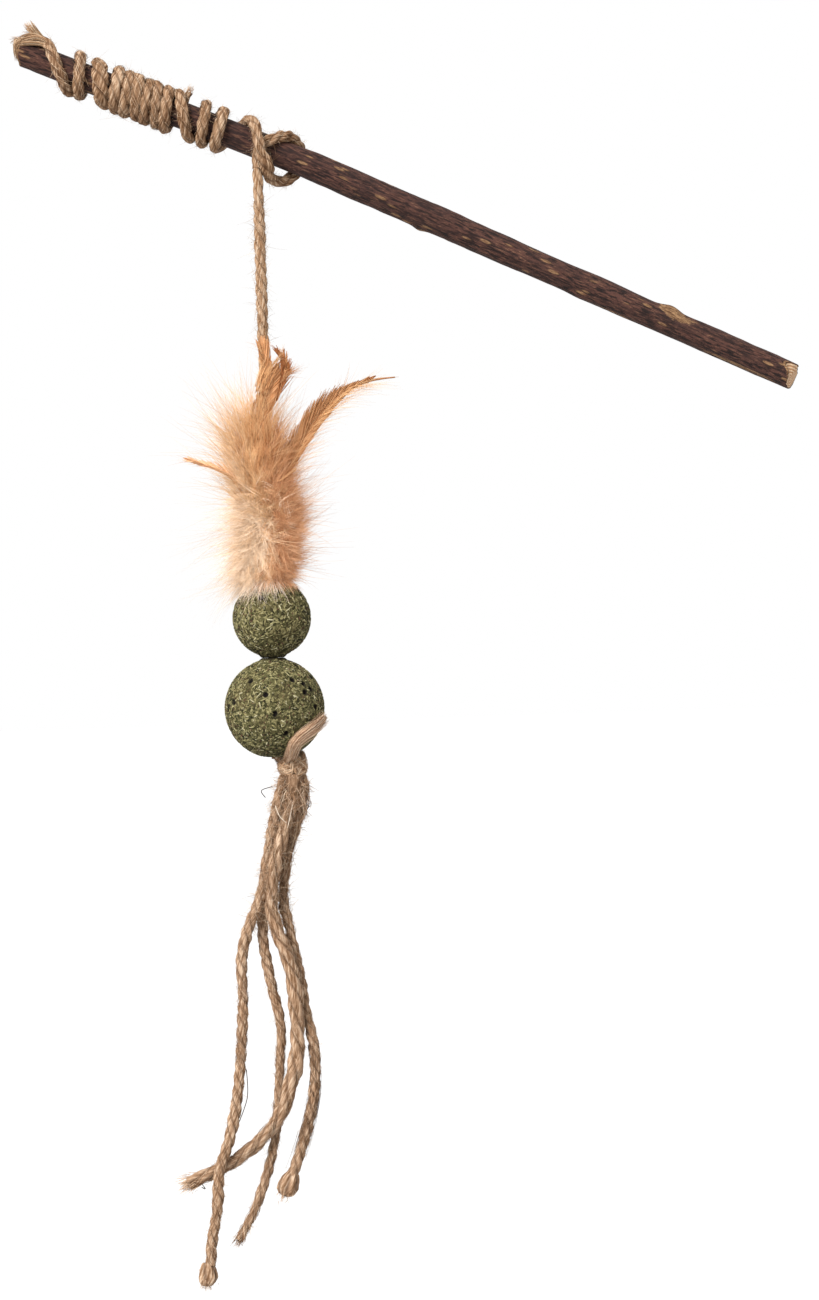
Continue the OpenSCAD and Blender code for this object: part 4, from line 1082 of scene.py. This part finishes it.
leftFeather = {
    "blade": {"depth": 0, "nearer": (-5, -6), "pixels": [(258, 530), (247, 500), (238, 484), (226, 474), (209, 467),
            (186, 459)],
        "shares": [0, 0.3, 0.55, 0.75, 0.9, 1], "widths": ([0.4, 0.9, 1.15, 0.85, 0.45, 0.08],) * 2},
    "down": [
        dict(tufts=610, each=8, bearings=(128, 240), span=(0, 0.78), reach=(8.5, 7.5, 5, 5.5, 8),
            lift=(-52, -14, 16, 44, 60), root=(0.8, 1.1), wild=1.3),
        dict(tufts=330, each=2, bearings=(128, 240), span=(0.45, 0.95), reach=(15, 15, 17, 19, 18),
            lift=(10, 20, 30, 42, 58), droop=0.06, thickness=0.055, loose=0.04, tint=tones["gold"], steps=5),
        dict(tufts=300, each=3, bearings=(135, 235), span=(0, 0.5), reach=(17, 18, 18, 17, 17),
            lift=(-46, -26, -4, 20, 30), droop=0, thickness=0.04, loose=0.05, tint=tones["blush"] + tones["pale"],
            tipShade=1.0, steps=4)],
    "over": [(520, (165, 290), tones["pale"], (2, 9))]}


def makeLeftFeather():
    # a small pointed blade that looks out of the cream down of the left
    rng, blade = np.random.default_rng(52), bladeOf(leftFeather["blade"])
    parts = vane(*blade, [0, -1.0, 0.1], tones["brown"], rng, 16, 0.5, 0.09, 1.2)
    parts.append(wispsAlong(evenPath(blade[0]), rng, 60, (0.45, 0.95), lambda run, r: run + r.uniform(
        -0.35, 0.35, (len(run), 1)) * np.array([0.2, 0, 1.0]), (3, 7), tones["brown"], 0.06))
    feathery("left_feather", "cream_down", parts, "feather_left")
    feathery("left_down", "cream_down", downOf(rng, leftFeather))


topFeather = {
    "blade": {"depth": -4.0, "pixels": [(251, 452), (258, 430), (264, 411), (269, 394), (273, 380), (274, 370)],
        "shares": [0, 0.25, 0.5, 0.7, 0.85, 1],
        "widths": ([0.7, 3.0, 4.6, 4.3, 2.8, 1.2], [0.7, 2.5, 3.8, 3.8, 2.5, 1.2])},
    "leftTip": {"depth": -3.9, "pixels": [(267, 410), (267, 388), (266, 370), (264, 357), (261, 346)],
        "shares": [0, 0.4, 0.7, 0.85, 1], "widths": ([0.8, 2.4, 2.2, 1.4, 0.5], [0.8, 2.2, 1.9, 1.2, 0.4])},
    "rightTip": {"depth": -4.4, "pixels": [(277, 402), (282, 386), (284, 373), (283, 362), (278, 353)],
        "shares": [0, 0.4, 0.7, 0.9, 1], "widths": ([0.6, 1.7, 1.5, 0.8, 0.3], [0.6, 1.4, 1.3, 0.7, 0.3])},
    "fold": ([(285, 372), (284, 362), (279, 354), (271, 347)], -4.2),
    "quill": ([(252, 449), (259, 432), (267, 417), (274, 403), (279, 391)], -5.2),
    "edge": ([(251, 426), (253, 412), (257, 398)], -4.4), "split": ([(262, 384), (268, 372), (278, 360)], -5.0),
    "behindSplit": ([(261, 396), (266, 379), (275, 360)], -4.7), "tuft": ([(278, 388), (284, 378), (288, 373)], -4.4),
    "down": [
        dict(tufts=520, each=10, bearings=(198, 342), span=(0.03, 0.88), reach=(6.5, 7, 7, 9, 9),
            lift=(-72, -60, 40, 66, 77), droop=0, root=(0.85, 1.1), loose=0.1),
        dict(tufts=120, each=9, bearings=(205, 335), span=(0.2, 0.6), reach=(5, 5.5, 6, 6, 6),
            lift=(-20, -14, 12, 34, 50), droop=0, root=(0.95, 1.12), wild=2.2, loose=0.1),
        dict(tufts=70, each=8, bearings=(225, 315), span=(0.84, 1.0), reach=(8, 8, 8, 10, 12),
            lift=(70, 70, 70, 72, 80), droop=0, root=(0.5, 1.1), wild=0.8, tint=tones["tan"]),
        dict(tufts=34, each=3, bearings=(235, 320), span=(0.2, 0.62), reach=(5, 6, 6, 6, 6), lift=(10, 20, 30, 40, 50),
            droop=0, thickness=0.085, root=(1.12, 1.32), loose=0.05, tint=tones["cream"] + tones["gold"], wild=2.6,
            steps=6),
        dict(tufts=130, each=8, bearings=(195, 345), span=(0, 0.2), reach=(4, 5, 8, 9, 9), lift=(-30, -10, 20, 30, 40),
            droop=0, root=(0.8, 1.1)),
        dict(tufts=150, each=2, bearings=(205, 335), span=(0.55, 0.98), reach=(12, 14, 16, 17, 17),
            lift=(30, 40, 50, 60, 74), droop=0.04, thickness=0.06, loose=0.04, tint=tones["tan"], steps=5)],
    "over": [(300, (235, 325), tones["brown"], (1.5, 5.5))]}


def makeTopFeather():
    # a broad rust blade in front of the line that splits in two at the top, its dark quill, and the down below it
    rng, front = np.random.default_rng(53), [0.05, -1.0, 0.1]
    dark, darkRust = tones["dark"], tones["dark"] + tones["rust"][2:3]
    blade, left, right = (bladeOf(topFeather[key]) for key in ("blade", "leftTip", "rightTip"))

    def along(key, step=0.3):
        # a path through the pixels of a row at its depth off the line
        pixels, depth = topFeather[key]
        return traced(pixels, line["y"] + depth, step)

    parts = vane(*blade, front, tones["blade"] + tones["rust"][:1], rng, 30, 0.15, 0.1, lean=1.5)
    parts += vane(*left, front, tones["blade"], rng, 18, 0.15, 0.12, lean=1.5)
    parts += vane(*right, front, darkRust, rng, 20, 0.2, 0.12, lean=1.5)
    # the folded edge of the split, the quill, and barbs that cross in front of the split
    parts += [
        lock(along("fold"), 60, 0.8, -0.4, 0.1, darkRust, rng, 0.3, (0.5, 0.8), wave=0.05),
        lock(along("quill", 0.4), 14, 0.16, -0.4, 0.13, dark[1:2], rng, 0.02, (0.9, 1.0), wave=0.0),
        lock(along("edge", 0.4), 16, 0.35, 0.5, 0.12, dark, rng, 0.1, (0.7, 0.9), wave=0.05),
        wispsAlong(along("split"), rng, 150, (0.0, 0.95), lambda run, r: run + np.array([0.3, 0, 0.1]), (1.8, 4.5),
            tones["tan"] + tones["gold"], 0.06, 0.2),
        lock(along("behindSplit"), 150, 2.1, 0.3, 0.08, tones["rust"] + tones["tan"], rng, 0.35, (0.4, 0.65), flat=0.3,
            wave=0.12),
        wispsAlong(along("tuft"), rng, 70, (0.2, 1.0), lambda run, r: np.array([0.85, 0, 0.35]) + 0.2 * run,
            (2.5, 7.0), tones["blade"] + dark[:1], 0.06, 0.2),
        wispsAlong(evenPath(left[0]), rng, 90, (0.25, 0.95), lambda run, r: run + r.choice([-1.0, -0.7, 0.5], (
            len(run), 1)) * np.array([0.7, 0, 0]), (2.5, 6.5), tones["tan"], 0.045),
        wispsAlong(evenPath(right[0]), rng, 70, (0.35, 0.95), lambda run, r: run + np.array([0.8, 0, 0.2]), (1.5, 4.5),
            tones["tan"], 0.045)]
    feathery("top_feather", "rust_feather", parts, "feather_top")
    feathery("front_down", "tan_feather", downOf(rng, topFeather))


backPlume = {
    "plume": dict(tufts=450, each=8, bearings=(28, 152), span=(0, 0.82), reach=(7, 8, 9, 9, 8),
        lift=(-14, 26, 40, 54, 68), root=(0.75, 1.1)),
    "down": [
        dict(tufts=170, each=3, bearings=(20, 160), span=(0.05, 0.9), reach=(14, 16, 17, 17, 16),
            lift=(-6, 12, 30, 46, 62), droop=0.1, thickness=0.045, loose=0.04, steps=4),
        dict(tufts=230, each=2, bearings=(0, 360), span=(0.62, 0.96), reach=(15, 15, 16, 18, 18),
            lift=(40, 40, 44, 54, 70), droop=0.02, thickness=0.06, root=(0.3, 0.95), loose=0.03,
            tint=tones["tan"] + tones["gold"], steps=5),
        dict(tufts=150, each=2, bearings=(135, 235), span=(0.6, 0.95), reach=(18, 18, 19, 21, 20),
            lift=(40, 40, 42, 50, 60), droop=0.02, thickness=0.055, root=(0.4, 0.9), loose=0.03,
            tint=tones["gold"] + tones["blush"], steps=5)],
    "over": [(260, (20, 180), tones["tan"], (1.5, 5.5))]}


def makeBackPlume():
    # the plume behind, and the tall fine wisps of all sides
    rng = np.random.default_rng(54)
    feathery("back_plume", "tan_feather", [plumes(rng, **backPlume["plume"])], "down_plume")
    feathery("fine_wisps", "tan_feather", downOf(rng, backPlume))


makeHeart()
makeRightFeather()
makeLeftFeather()
makeTopFeather()
makeBackPlume()
print("feathers made")

# Tassel. routes: points from the lump, from the knot down. strands: growth along the run, width, looseness, fuzz, end

tassel = {"head": np.array([41.041, -5.45, -208.9355]), "bundleFibres": 2000,
    "bud": ([0, 0.08, 0.3, 0.6, 0.82, 0.95, 1], [0.45, 0.62, 0.86, 1.0, 0.9, 0.66, 0.3]),
    "lump": ([0, 0.12, 0.35, 0.65, 0.88, 1], [0.55, 0.85, 1, 1, 0.85, 0.5])}
routes = {
    "left": [(-4.5, -0.9, -3.1), (-6.5, -0.9, -11.5), (-8, -0.4, -19.5), (-9.5, -0.4, -27), (-11.5, -0.6, -34),
        (-15, -1, -42), (-17, -1.2, -51), (-17, -1.4, -63.5), (-18, -1.5, -78), (-19.5, -1.8, -91),
        (-22, -2.4, -103), (-25.5, -3, -113.5), (-26.5, -2.6, -124.5), (-28.5, -2, -135), (-29, -1.6, -141.5)],
    "middle": [(-3.5, 2.1, -3.6), (-5, 2.3, -12), (-6.5, 3, -20), (-8, 3.3, -27.5), (-10, 3.2, -35.5),
        (-10.5, 3, -44), (-9.5, 3, -52), (-8, 3, -60.5), (-6, 3, -70.5), (-6.5, 3, -81.5), (-7.5, 3.5, -93.5),
        (-9, 3.3, -105.5), (-11.5, 2.6, -115), (-15.5, 1.8, -125.5), (-20.5, 1.2, -134.5)],
    "frayed": [(-1, -1.8, -4.5), (-3, -2.4, -12), (-5.5, -3.3, -20), (-7, -3.5, -27.5), (-7.5, -2.6, -35.5),
        (-5.5, -2, -43.5), (-3, -1.4, -51), (-1.5, -1.2, -59), (-1, -1, -70), (-1.5, -0.6, -80.5), (-4, -0.5, -89.5),
        (-7, -0.4, -97.5), (-12.5, -0.2, -104), (-20, 0.5, -110), (-29, 1, -114.5), (-35, 1, -117)],
    "right": [(2, 1.2, -4.9), (0, 1.4, -12.5), (-2.5, 1.6, -19.5), (-3.5, 1.8, -26.5), (-4, 2.2, -34),
        (-2.5, 2.4, -41), (-1, 2.6, -49.5), (0.5, 2.6, -58), (1.5, 2.4, -66.5), (3.5, 1.5, -75), (4, 0.8, -84),
        (3, 0.4, -93.5), (0.5, 0.2, -103), (-2, 0, -110.5), (-4, 0, -115.5)]}
strands = {
    "left": (61, ([0, 0.3, 1], [1.06, 1.0, 1.0]), 1.0, 0.0, 1200, "knot", 0.0026),
    "middle": (63, ([0, 0.3, 0.6, 1], [1.06, 1.02, 0.86, 0.8]), 1.0, 0.0, 1050, "bare", 0.0026),
    "frayed": (65, ([0, 0.15, 0.4, 0.85, 1], [1.0, 1.15, 1.32, 1.28, 1.2]), 1.1, 0.45, 1500, "bare", 0.0038),
    "right": (67, ([0, 0.3, 1], [1.06, 1.0, 1.0]), 1.0, 0.0, 1100, "knot", 0.0026)}
strayRows = {"paleOne": ((294, 800), (286, 836), (276, 870), -9.5),
    "paleTwo": ((276, 805), (280, 815), (287, 822), -9.8), "darkOne": ((273, 786), (262, 790), (266, 797), -8),
    "darkTwo": ((302, 815), (309, 806), (308, 797), -6), "darkThree": ((247, 1068), (248, 1095), (240, 1120), -7),
    "darkFour": ((200, 1180), (206, 1188), (202, 1186), -4)}


def lump(name, centre, axis, radius, length, profile, finish, home, seed, node=None, lobes=5, twist=0.7, ridge=0.1,
    flat=1.0, shift=0.0):
    # a bud of fibres: rings along an axis whose radius follows a profile, with lobes that turn as they go down
    t, phi = np.linspace(0.0, 1.0, 64), circle(72)
    across = unit(np.cross(axis, sideways))
    lobe = np.cos(lobes * phi[None] + 2 * np.pi * twist * t[:, None])
    grain = grid(3 * np.cos(phi)[None], 3 * np.sin(phi)[None], 3 * t[:, None])
    far = radius * np.interp(t, *profile)[:, None] * (
        1 + ridge * lobe + 0.07 * noiseAt(grain, seed) + 0.05 * noiseAt(grain * 3, seed + 1))
    middle = beside(centre, axis, across, (t - 0.5) * length, shift * np.sin(np.pi * t))
    rings = beside(middle[:, None], across, np.cross(axis, across), far * np.cos(phi), flat * far * np.sin(phi))
    points, faces = closedTube(rings, rings[[0, -1]].mean(1))
    lie = grid(np.cos(phi - twist * t[:, None]), np.sin(phi - twist * t[:, None]), 0.1 * length * t[:, None] + seed)
    # painted shade: the hollows between the lobes are marked for the finish to darken
    more = {"lie": capped(lie), "groove": capped(np.clip(0.35 - 0.5 * lobe, 0, 1)[..., None])}
    return makePiece(name, points, faces, finish, home, more, node)


def fan(name, root, aim, count, spreadBy, reach, seed, wide, bend=0.22, toneList=paleTones, home=onTassel):
    # a frayed end: fibres that start close together and fan out
    rng = np.random.default_rng(seed)
    roots = root + wide * rng.standard_normal((count, 3)) * 0.5
    aims = unit(aim + spreadBy * rng.standard_normal((count, 3)))
    dressed(name, [hairs(roots, aims, bend * rng.standard_normal((count, 3)), rng.uniform(*reach, count),
        0.08 * rng.uniform(0.6, 1.3, count), spread(toneList, count, rng), 5)], home)


def endOf(key):
    # the last point of a route, and its heading there
    knots = np.array(routes[key])
    return tassel["head"] + knots[-1], unit(knots[-1] - knots[-2])


def makeStrand(key):
    # a strand starts inside the knot's lower side, bulges out with its neighbours and follows its route to its end
    seed, growth, wide, loose, fuzz, farEnd, diameter = strands[key]
    knots = np.array(routes[key], float)
    knots = tassel["head"] + np.vstack([knots[0] * [0.2, 0.3, 0] + [0, 0, 2.4], knots[0] * [0.75, 0.8, 0.1], knots])
    path = evenPath(knots, twine["step"])
    share, beat = np.linspace(0, 1, len(path)), np.arange(0, 1.02, 0.02)
    uneven = np.random.default_rng(seed).standard_normal(len(beat))
    grow = np.interp(share, *growth) * (1 + 0.05 * np.interp(share, beat, uneven))
    name = "tassel_" + key
    piece = twinePiece(name, path, sideways, onTassel, looseJute, seed, "strand_" + key, 0.0, wide, 1.0, grow, loose)
    size = twine["radius"] * float(np.mean(grow))
    fuzzPiece(name + "_fuzz", path[14:], sideways, onTassel, fuzz, seed + 1, (0.9, 2.9), size, wide)
    layPiece(name + "_lay", path, sideways, onTassel, fuzz // 3, seed + 2, (4.0, 11.0), size * 1.01, wide, 1.0, loose)


def bundleFibres():
    # loose fibres over the top of the bundle, where the strands lie together
    rng, tone = np.random.default_rng(77), layTones + paleTones
    each, parts = tassel["bundleFibres"] // len(routes), []
    for knots in routes.values():
        path = evenPath(tassel["head"] + np.vstack([[0, 0, 0], np.array(knots)[:6]]))
        at = rng.integers(2, len(path) - 2, each)
        out = unit(rng.standard_normal((each, 3)) * [1, 1.2, 0.15])
        aim = unit(headings(path)[at] * rng.choice([-1, 1], (each, 1)) * rng.uniform(0, 1, (each, 1)) + 0.3 * out
            + 0.7 * rng.standard_normal((each, 3)))
        root = path[at] + out * rng.uniform(1.2, 1.75, (each, 1))
        parts.append(hairs(root, aim, 0.8 * rng.standard_normal((each, 3)), rng.uniform(1.2, 3.4, each),
            0.065 * rng.uniform(0.6, 1.3, each), spread(tone, each, rng)))
    middle, neck, lower = (tassel["head"] + np.array(knots) for knots in (
        [(0.4, 0, 0), (-1.4, 0, -6), (-3.6, 0.2, -15), (-5.6, 0.3, -24), (-7.0, 0.4, -32)],
        [(0.4, 0, 3.2), (0.3, 0, 0), (-1.2, 0, -6), (-2.4, 0.1, -10)], routes["right"][9:]))
    return parts + [
        lock(evenPath(middle, 0.4), 300, 4.3, -0.1, 0.06, layTones, rng, 0.7, (0.15, 0.35), flat=0.75, hollow=0.8,
            wave=0.25),
        lock(evenPath(neck, 0.4), 420, 4.45, 0.0, 0.075, tone, rng, 0.5, (0.3, 0.55), flat=0.95, hollow=0.88, wave=0.4,
            steps=5),
        lock(evenPath(lower, 0.4), 130, 1.75, 0.1, 0.06, inks((92, 66, 48), (128, 94, 68), gain=2.0), rng, 0.7,
            (0.12, 0.3), hollow=0.9, wave=0.35, steps=5)]


def makeTassel():
    # four strands on their routes, folded ends on two of them, a fan of fibres at each end, and loose fibres
    ends = {key: endOf(key) for key in routes}
    (leftEnd, leftRun), (rightEnd, rightRun) = ends["left"], ends["right"]
    leftSide = leftEnd - [1.0, 0, 0]
    leftBulb = lump("left_bulb", leftSide + leftRun * 2.7, leftRun, 2.75, 7.0, tassel["bud"], looseJute, onTassel, 71,
        "left_end_knot", 4, 0.5, 0.12, 0.85, 0.4)
    rightBulb = lump("right_bulb", rightEnd + rightRun * 2.6, rightRun, 3.0, 7.8, tassel["bud"], looseJute, onTassel,
        72, "right_end_knot", 5, 0.4, 0.12, 0.9)
    for key in strands:
        makeStrand(key)
    for name, key, back, *row in (("frayed_fan", "frayed", 1.5, 230, 0.2, (1.8, 4.4), 73, 2.2, 0.12),
        ("middle_fan", "middle", 1.2, 110, 0.24, (1.4, 3.2), 74, 1.4, 0.1, layTones)):
        fan(name, ends[key][0] - ends[key][1] * back, ends[key][1], *row)
    fan("left_bulb_fan", leftSide + leftRun * 4.6, leftRun, 110, 0.25, (0.8, 2.4), 75, 2.2)
    fan("right_bulb_fan", rightEnd + rightRun * 5.2, rightRun, 110, 0.3, (0.8, 2.2), 76, 2.4)
    dressed("bundle_fibres", bundleFibres(), onTassel)
    # a few long stray fibres, pale ones over the bundle and dark ones beside it
    for name, (*rows, y) in strayRows.items():
        path = traced(rows, y, 0.4)
        size, colour = (0.11, ink(244, 226, 204, 1.4)) if name.startswith("pale") else (0.13, ink(74, 60, 52))
        dressed("stray_" + name, [rod(path, *section(path, sideways), size, 6, colour)], onTassel)


def makeHead():
    # the lump that the strands come out of, inside the top of the bundle, in the darker jute as painted shade
    centre, home = tassel["head"] + [0, 0, 0.4], ("strand", "tassel_top")
    lump("tassel_head_lump", centre, downwards, 4.35, 10.0, tassel["lump"], shadedJute, home, 81, "tassel_head", 4, 0.3)
    rng, count = np.random.default_rng(82), 900
    out = unit(rng.standard_normal((count, 3)))
    aim = unit(0.6 * downwards + 0.5 * out + 0.6 * rng.standard_normal((count, 3)))
    dressed("tassel_head_fuzz", [hairs(centre + out * 4.15, aim, 0.4 * rng.standard_normal((count, 3)),
        rng.uniform(1.2, 3.4, count), 0.075, spread(layTones + paleTones, count, rng), 5)], home)


# Knot. ways and lift: directions from the ball's centre to the tail, and heights over the ball

knot = {"z": -202.0, "radius": 2.95, "turns": 2.35, "side": 4.8, "halfHeight": 1.9, "tilt": 1.5, "swirls": 110,
    "swirlSize": [4.2, 4.2, 3.7], "thickness": 0.45,
    "heart": ([0, 0.15, 0.5, 0.85, 1], [0.5, 0.9, 1, 1, 0.7]),
    "ways": [(0.20, -0.04, -0.98), (0.25, -0.26, -0.93), (0.31, -0.50, -0.81), (0.38, -0.64, -0.66),
        (0.51, -0.66, -0.54), (0.71, -0.57, -0.41), (0.84, -0.44, -0.29), (0.91, -0.33, -0.18)],
    "lift": [2.3, 1.3, 0.9, 0.8, 0.8, 0.9, 1.1, 1.5],
    "half": ([0, 0.15, 0.5, 0.8, 0.92, 1], [1.1, 1.1, 1.3, 1.75, 1.45, 0.5]),
    "broad": ([0, 0.15, 0.5, 1], [1.1, 1.1, 1.25, 1.75])}


def makeKnot():
    # the stopper: twine leaves the bore and makes two tight turns round the bundle
    mouth = balls["large"]["z"] - balls["large"]["radius"]
    centre, t = linePoint(knot["z"], knot["side"]), np.linspace(0, 1, 160)
    turn = 2 * np.pi * knot["turns"] * t + np.pi
    r = knot["radius"] - 0.25 + 0.2 * np.sin(3 * turn)
    tilt = knot["tilt"] * np.cos(turn + 0.9) * (1 - 2 * smooth(t, 0.35, 0.65))
    wraps = centre + np.stack([r * np.cos(turn), -r * np.sin(turn), knot["halfHeight"] * (1 - 2 * t) + 0.2 + tilt], 1)
    lead = [linePoint(mouth + 1.0, 0.5), linePoint(mouth - 0.4, 1.2)]
    path = evenPath(np.vstack([*lead, wraps[4::8]]), twine["step"])
    along = (path, np.array([0.02, 0, 1.0]), onLure)
    # painted light: the knot and its heart take the brighter line jute, as the knot lies in the ball's shade
    twinePiece("knot_twine", *along, dropJute, 83, "stopper_knot", 0, 1.15, 1.0,
        np.interp(runOf(path), [0, 3.5], [0.55, 1.0]), 0.35)
    lump("knot_heart", centre + [0, 0, -0.4], downwards, 3.1, 7.4, knot["heart"], dropJute, onLure, 84)
    fuzzPiece("knot_fuzz", *along, 900, 85, (0.9, 3.0), toneList=paleTones)
    layPiece("knot_lay", *along, 420, 86, (3, 8), wide=1.1, loose=0.35, thickness=0.075)
    rng, swirls = np.random.default_rng(88), []
    while len(swirls) < knot["swirls"]:
        way, tip = unit(rng.standard_normal((2, 3)) * [1, 1, 0.6])
        side = unit(np.cross(way, tip))
        bow = np.linspace(0, rng.uniform(0.7, 2.2), 6)[:, None]
        loop = centre + (way * np.cos(bow) + side * np.sin(bow)) * np.array(knot["swirlSize"]) * rng.uniform(0.96, 1.1)
        # the swirls take the brightened tones: their own colour with painted light
        swirls.append(lock(evenPath(loop, 0.4), 4, 0.35, 0.5, 0.07, brightTones, rng, 0.3, (0.5, 0.9), wave=0.3,
            steps=5))
    dressed("knot_swirls", swirls, onLure)


def makeKnotTail():
    # a flat band of loose fibres that stands up the side of the ball, broad side to the front
    home, ball = ("strand", "lure"), linePoint(balls["large"]["z"])
    far = (balls["large"]["radius"] + np.array(knot["lift"]))[:, None]
    path = evenPath(ball + unit(np.array(knot["ways"])) * far, twine["step"])
    run, share, phi = headings(path), np.linspace(0, 1, len(path)), circle(48)
    side = unit(np.cross(unit(unit(path - ball) + [0, -0.45, 0]), run))
    out = np.cross(run, side)
    half = np.interp(share, *knot["half"])[:, None]
    wave = 0.14 * np.sin(11 * np.cos(phi)[None] + 3 * share[:, None]) + 0.08 * np.sin(23 * np.cos(phi)[None])
    points, faces = ringed(path, side, out, half * np.cos(phi), -(knot["thickness"] + wave) * np.sin(phi)[None])
    lie = capped(grid(2.5 * np.cos(phi)[None], np.sin(phi)[None], share[:, None] * 2))
    more = {"lie": lie, "groove": np.full(len(points), 0.15)}
    makePiece("knot_tail_band", points, faces, tailJute, home, more, "knot_tail")
    rng = np.random.default_rng(87)
    bright = inks((230, 194, 160, 1.25), (204, 164, 130, 1.35), (246, 218, 190, 1.2), (172, 130, 100, 1.45))
    broad = np.interp(share, *knot["broad"])[:, None]
    parts = [lock(path + offset * broad * side + 0.35 * out, 100, 0.5, 0.8, 0.09, bright, rng, 0.45, (0.3, 0.75), out,
        0.8, wave=0.14) for offset in (-0.85, -0.45, 0.0, 0.45, 0.85)]
    parts.append(lock(path + 0.2 * out, 110, 2.3, 0.35, 0.055, bright, rng, 0.5, (0.3, 0.7), out, 0.5, wave=0.2))
    dressed("knot_tail_fibres", parts, home)


makeTassel()
makeHead()
makeKnot()
makeKnotTail()
print("knot and tassel made")

# Frayed start. Rows of a lock: pixels, depth, count, radius, flare, thickness, latest start, reach and wave

startTones = inks((222, 180, 142, 1.9), (196, 152, 112, 2.0), (240, 208, 172, 1.8), (168, 124, 86, 2.0))
startRows = [
    ([(52, 50), (45, 42), (36, 39), (25, 41), (14, 44)], -2.6, 100, 0.95, 0.2, 0.10, 0.2, (0.5, 0.85), 0.08),
    ([(50, 47), (42, 39), (31, 36), (20, 39), (11, 44)], -1.6, 70, 0.5, 0.9, 0.10, 0.15, (0.6, 0.9), 0.1),
    ([(50, 50), (42, 45), (31, 44), (21, 45), (18, 50), (19, 58)], -3.6, 60, 0.6, 0.7, 0.09, 0.2, (0.5, 0.8), 0.1),
    ([(26, 40), (17, 43), (16.5, 51), (18.5, 62)], -2.6, 90, 0.85, 0.1, 0.085, 0.2, (0.5, 0.85), 0.1),
    ([(24, 41), (14, 41), (9, 43)], -2.0, 50, 0.7, 1.0, 0.07, 0.4, (0.3, 0.6), 0.25),
    ([(50, 46), (40, 39), (33, 31), (27, 22)], -0.6, 220, 0.8, 1.0, 0.10, 0.25, (0.45, 0.85), 0.12),
    ([(46, 42), (37, 33), (32, 26), (31, 20)], -0.2, 60, 0.6, 1.4, 0.065, 0.3, (0.4, 0.7), 0.25),
    ([(40, 37), (28, 33), (20, 30)], -0.8, 40, 0.7, 1.2, 0.055, 0.3, (0.4, 0.7), 0.2)]


def makeFrayedStart():
    # the start of the winding: bundles of loose fibres back along the top of the butt, and a tuft that stands up
    base = onStick(windingFrom + 0.5, -96.0, 0.1)
    knots = (0.4, 0), (-2.0, 0.3), (-4.6, -0.2), (-6.6, -1.0)
    tongue = evenPath([base + x * gripAlong + z * gripUp for x, z in knots], twine["step"])
    share = np.linspace(0, 1, len(tongue))
    twinePiece("start_tongue", tongue, gripUp, onWand, wovenJute, 91, "frayed_start", 0, 0.9 + 0.2 * share, 0.6,
        np.interp(share, [0, 0.6, 1], [0.9, 0.75, 0.4]), 0.8)
    rng = np.random.default_rng(92)
    dressed("start_fibres", [lock(traced(rows, y), *sizes, startTones, rng, startMost, reach, wave=wave)
        for rows, y, *sizes, startMost, reach, wave in startRows], onWand)


def makeCutEnd():
    # the cut end that stands out of the winding
    at = stick["hitchAt"] + pitch * (grip["turns"][grip["cutTurn"]][0] + grip["cutShift"])
    foot = at * gripAlong + (stick["radius"] + 0.3) * gripUp
    path = evenPath([foot + x * gripAlong + z * gripUp for x, z in ((0, -0.5), (0, 1.2), (0.2, 2.9))], twine["step"])
    twinePiece("cut_end", path, sideways, onWand, wovenJute, 94, "tucked_end", 0, 0.8, 0.8, 0.82)
    fan("cut_end_fan", foot + 2.5 * gripUp, gripUp, 70, 0.25, (0.7, 1.8), 95, 1.3, home=onWand)


makeFrayedStart()
makeCutEnd()
print("frayed start and cut end made")

# CAD nodes that stay


def dressLashing():
    # the lashing of the quills keeps its solid and gets a fine mottled twine colour
    made = Finish("quill_lashing", {"Roughness": 0.9})
    grain = made.noise(made.place(), 2600.0, 3.0)
    made.feed(Base_Color=made.mix(grain, ink(150, 112, 84), ink(206, 170, 138)))
    made.bump(grain, 0.5, 0.0003)
    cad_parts["quill_knot"].data.materials.clear()
    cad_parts["quill_knot"].data.materials.append(made.material)


dressLashing()
print("lashing dressed")

# Floor and light

room = {"reach": 30.0, "pale": ((0.50, 0.50, 0.50, 1), (0.52, 0.52, 0.52, 1)), "cloud": 0.7}


def makeRoom():
    # a wide pale floor well below the tassel, an even sky and one broad soft sun
    mesh, reach, z = bpy.data.meshes.new("floor"), room["reach"], eye["floor"] / 1000
    corners = [(-reach, -reach, z), (reach, -reach, z), (reach, reach, z), (-reach, reach, z)]
    mesh.from_pydata(corners, [], [(0, 1, 2, 3)])
    finish = Finish("pale_floor", {"Roughness": 0.95, "Specular IOR Level": 0.0})
    finish.feed(Base_Color=finish.mix(finish.noise(finish.place(), room["cloud"], 2.0), *room["pale"]))
    mesh.materials.append(finish.material)
    newObject("floor", mesh)
    world = bpy.data.worlds.new("studio")
    world.use_nodes = True
    world.node_tree.nodes["Background"].inputs["Color"].default_value = (1, 1, 1, 1)
    world.node_tree.nodes["Background"].inputs["Strength"].default_value = light["sky"]
    bpy.context.scene.world = world
    sun = newObject("soft_sun", bpy.data.lights.new("soft_sun", "SUN"))
    sun.data.energy, sun.data.angle = light["sun"], light["sunAngle"]
    sun.rotation_mode = "QUATERNION"
    sun.rotation_quaternion = Vector(light["sunFrom"]).to_track_quat("Z", "Y")
    bpy.context.scene.view_settings.view_transform = "Standard"


makeRoom()
print("room made")
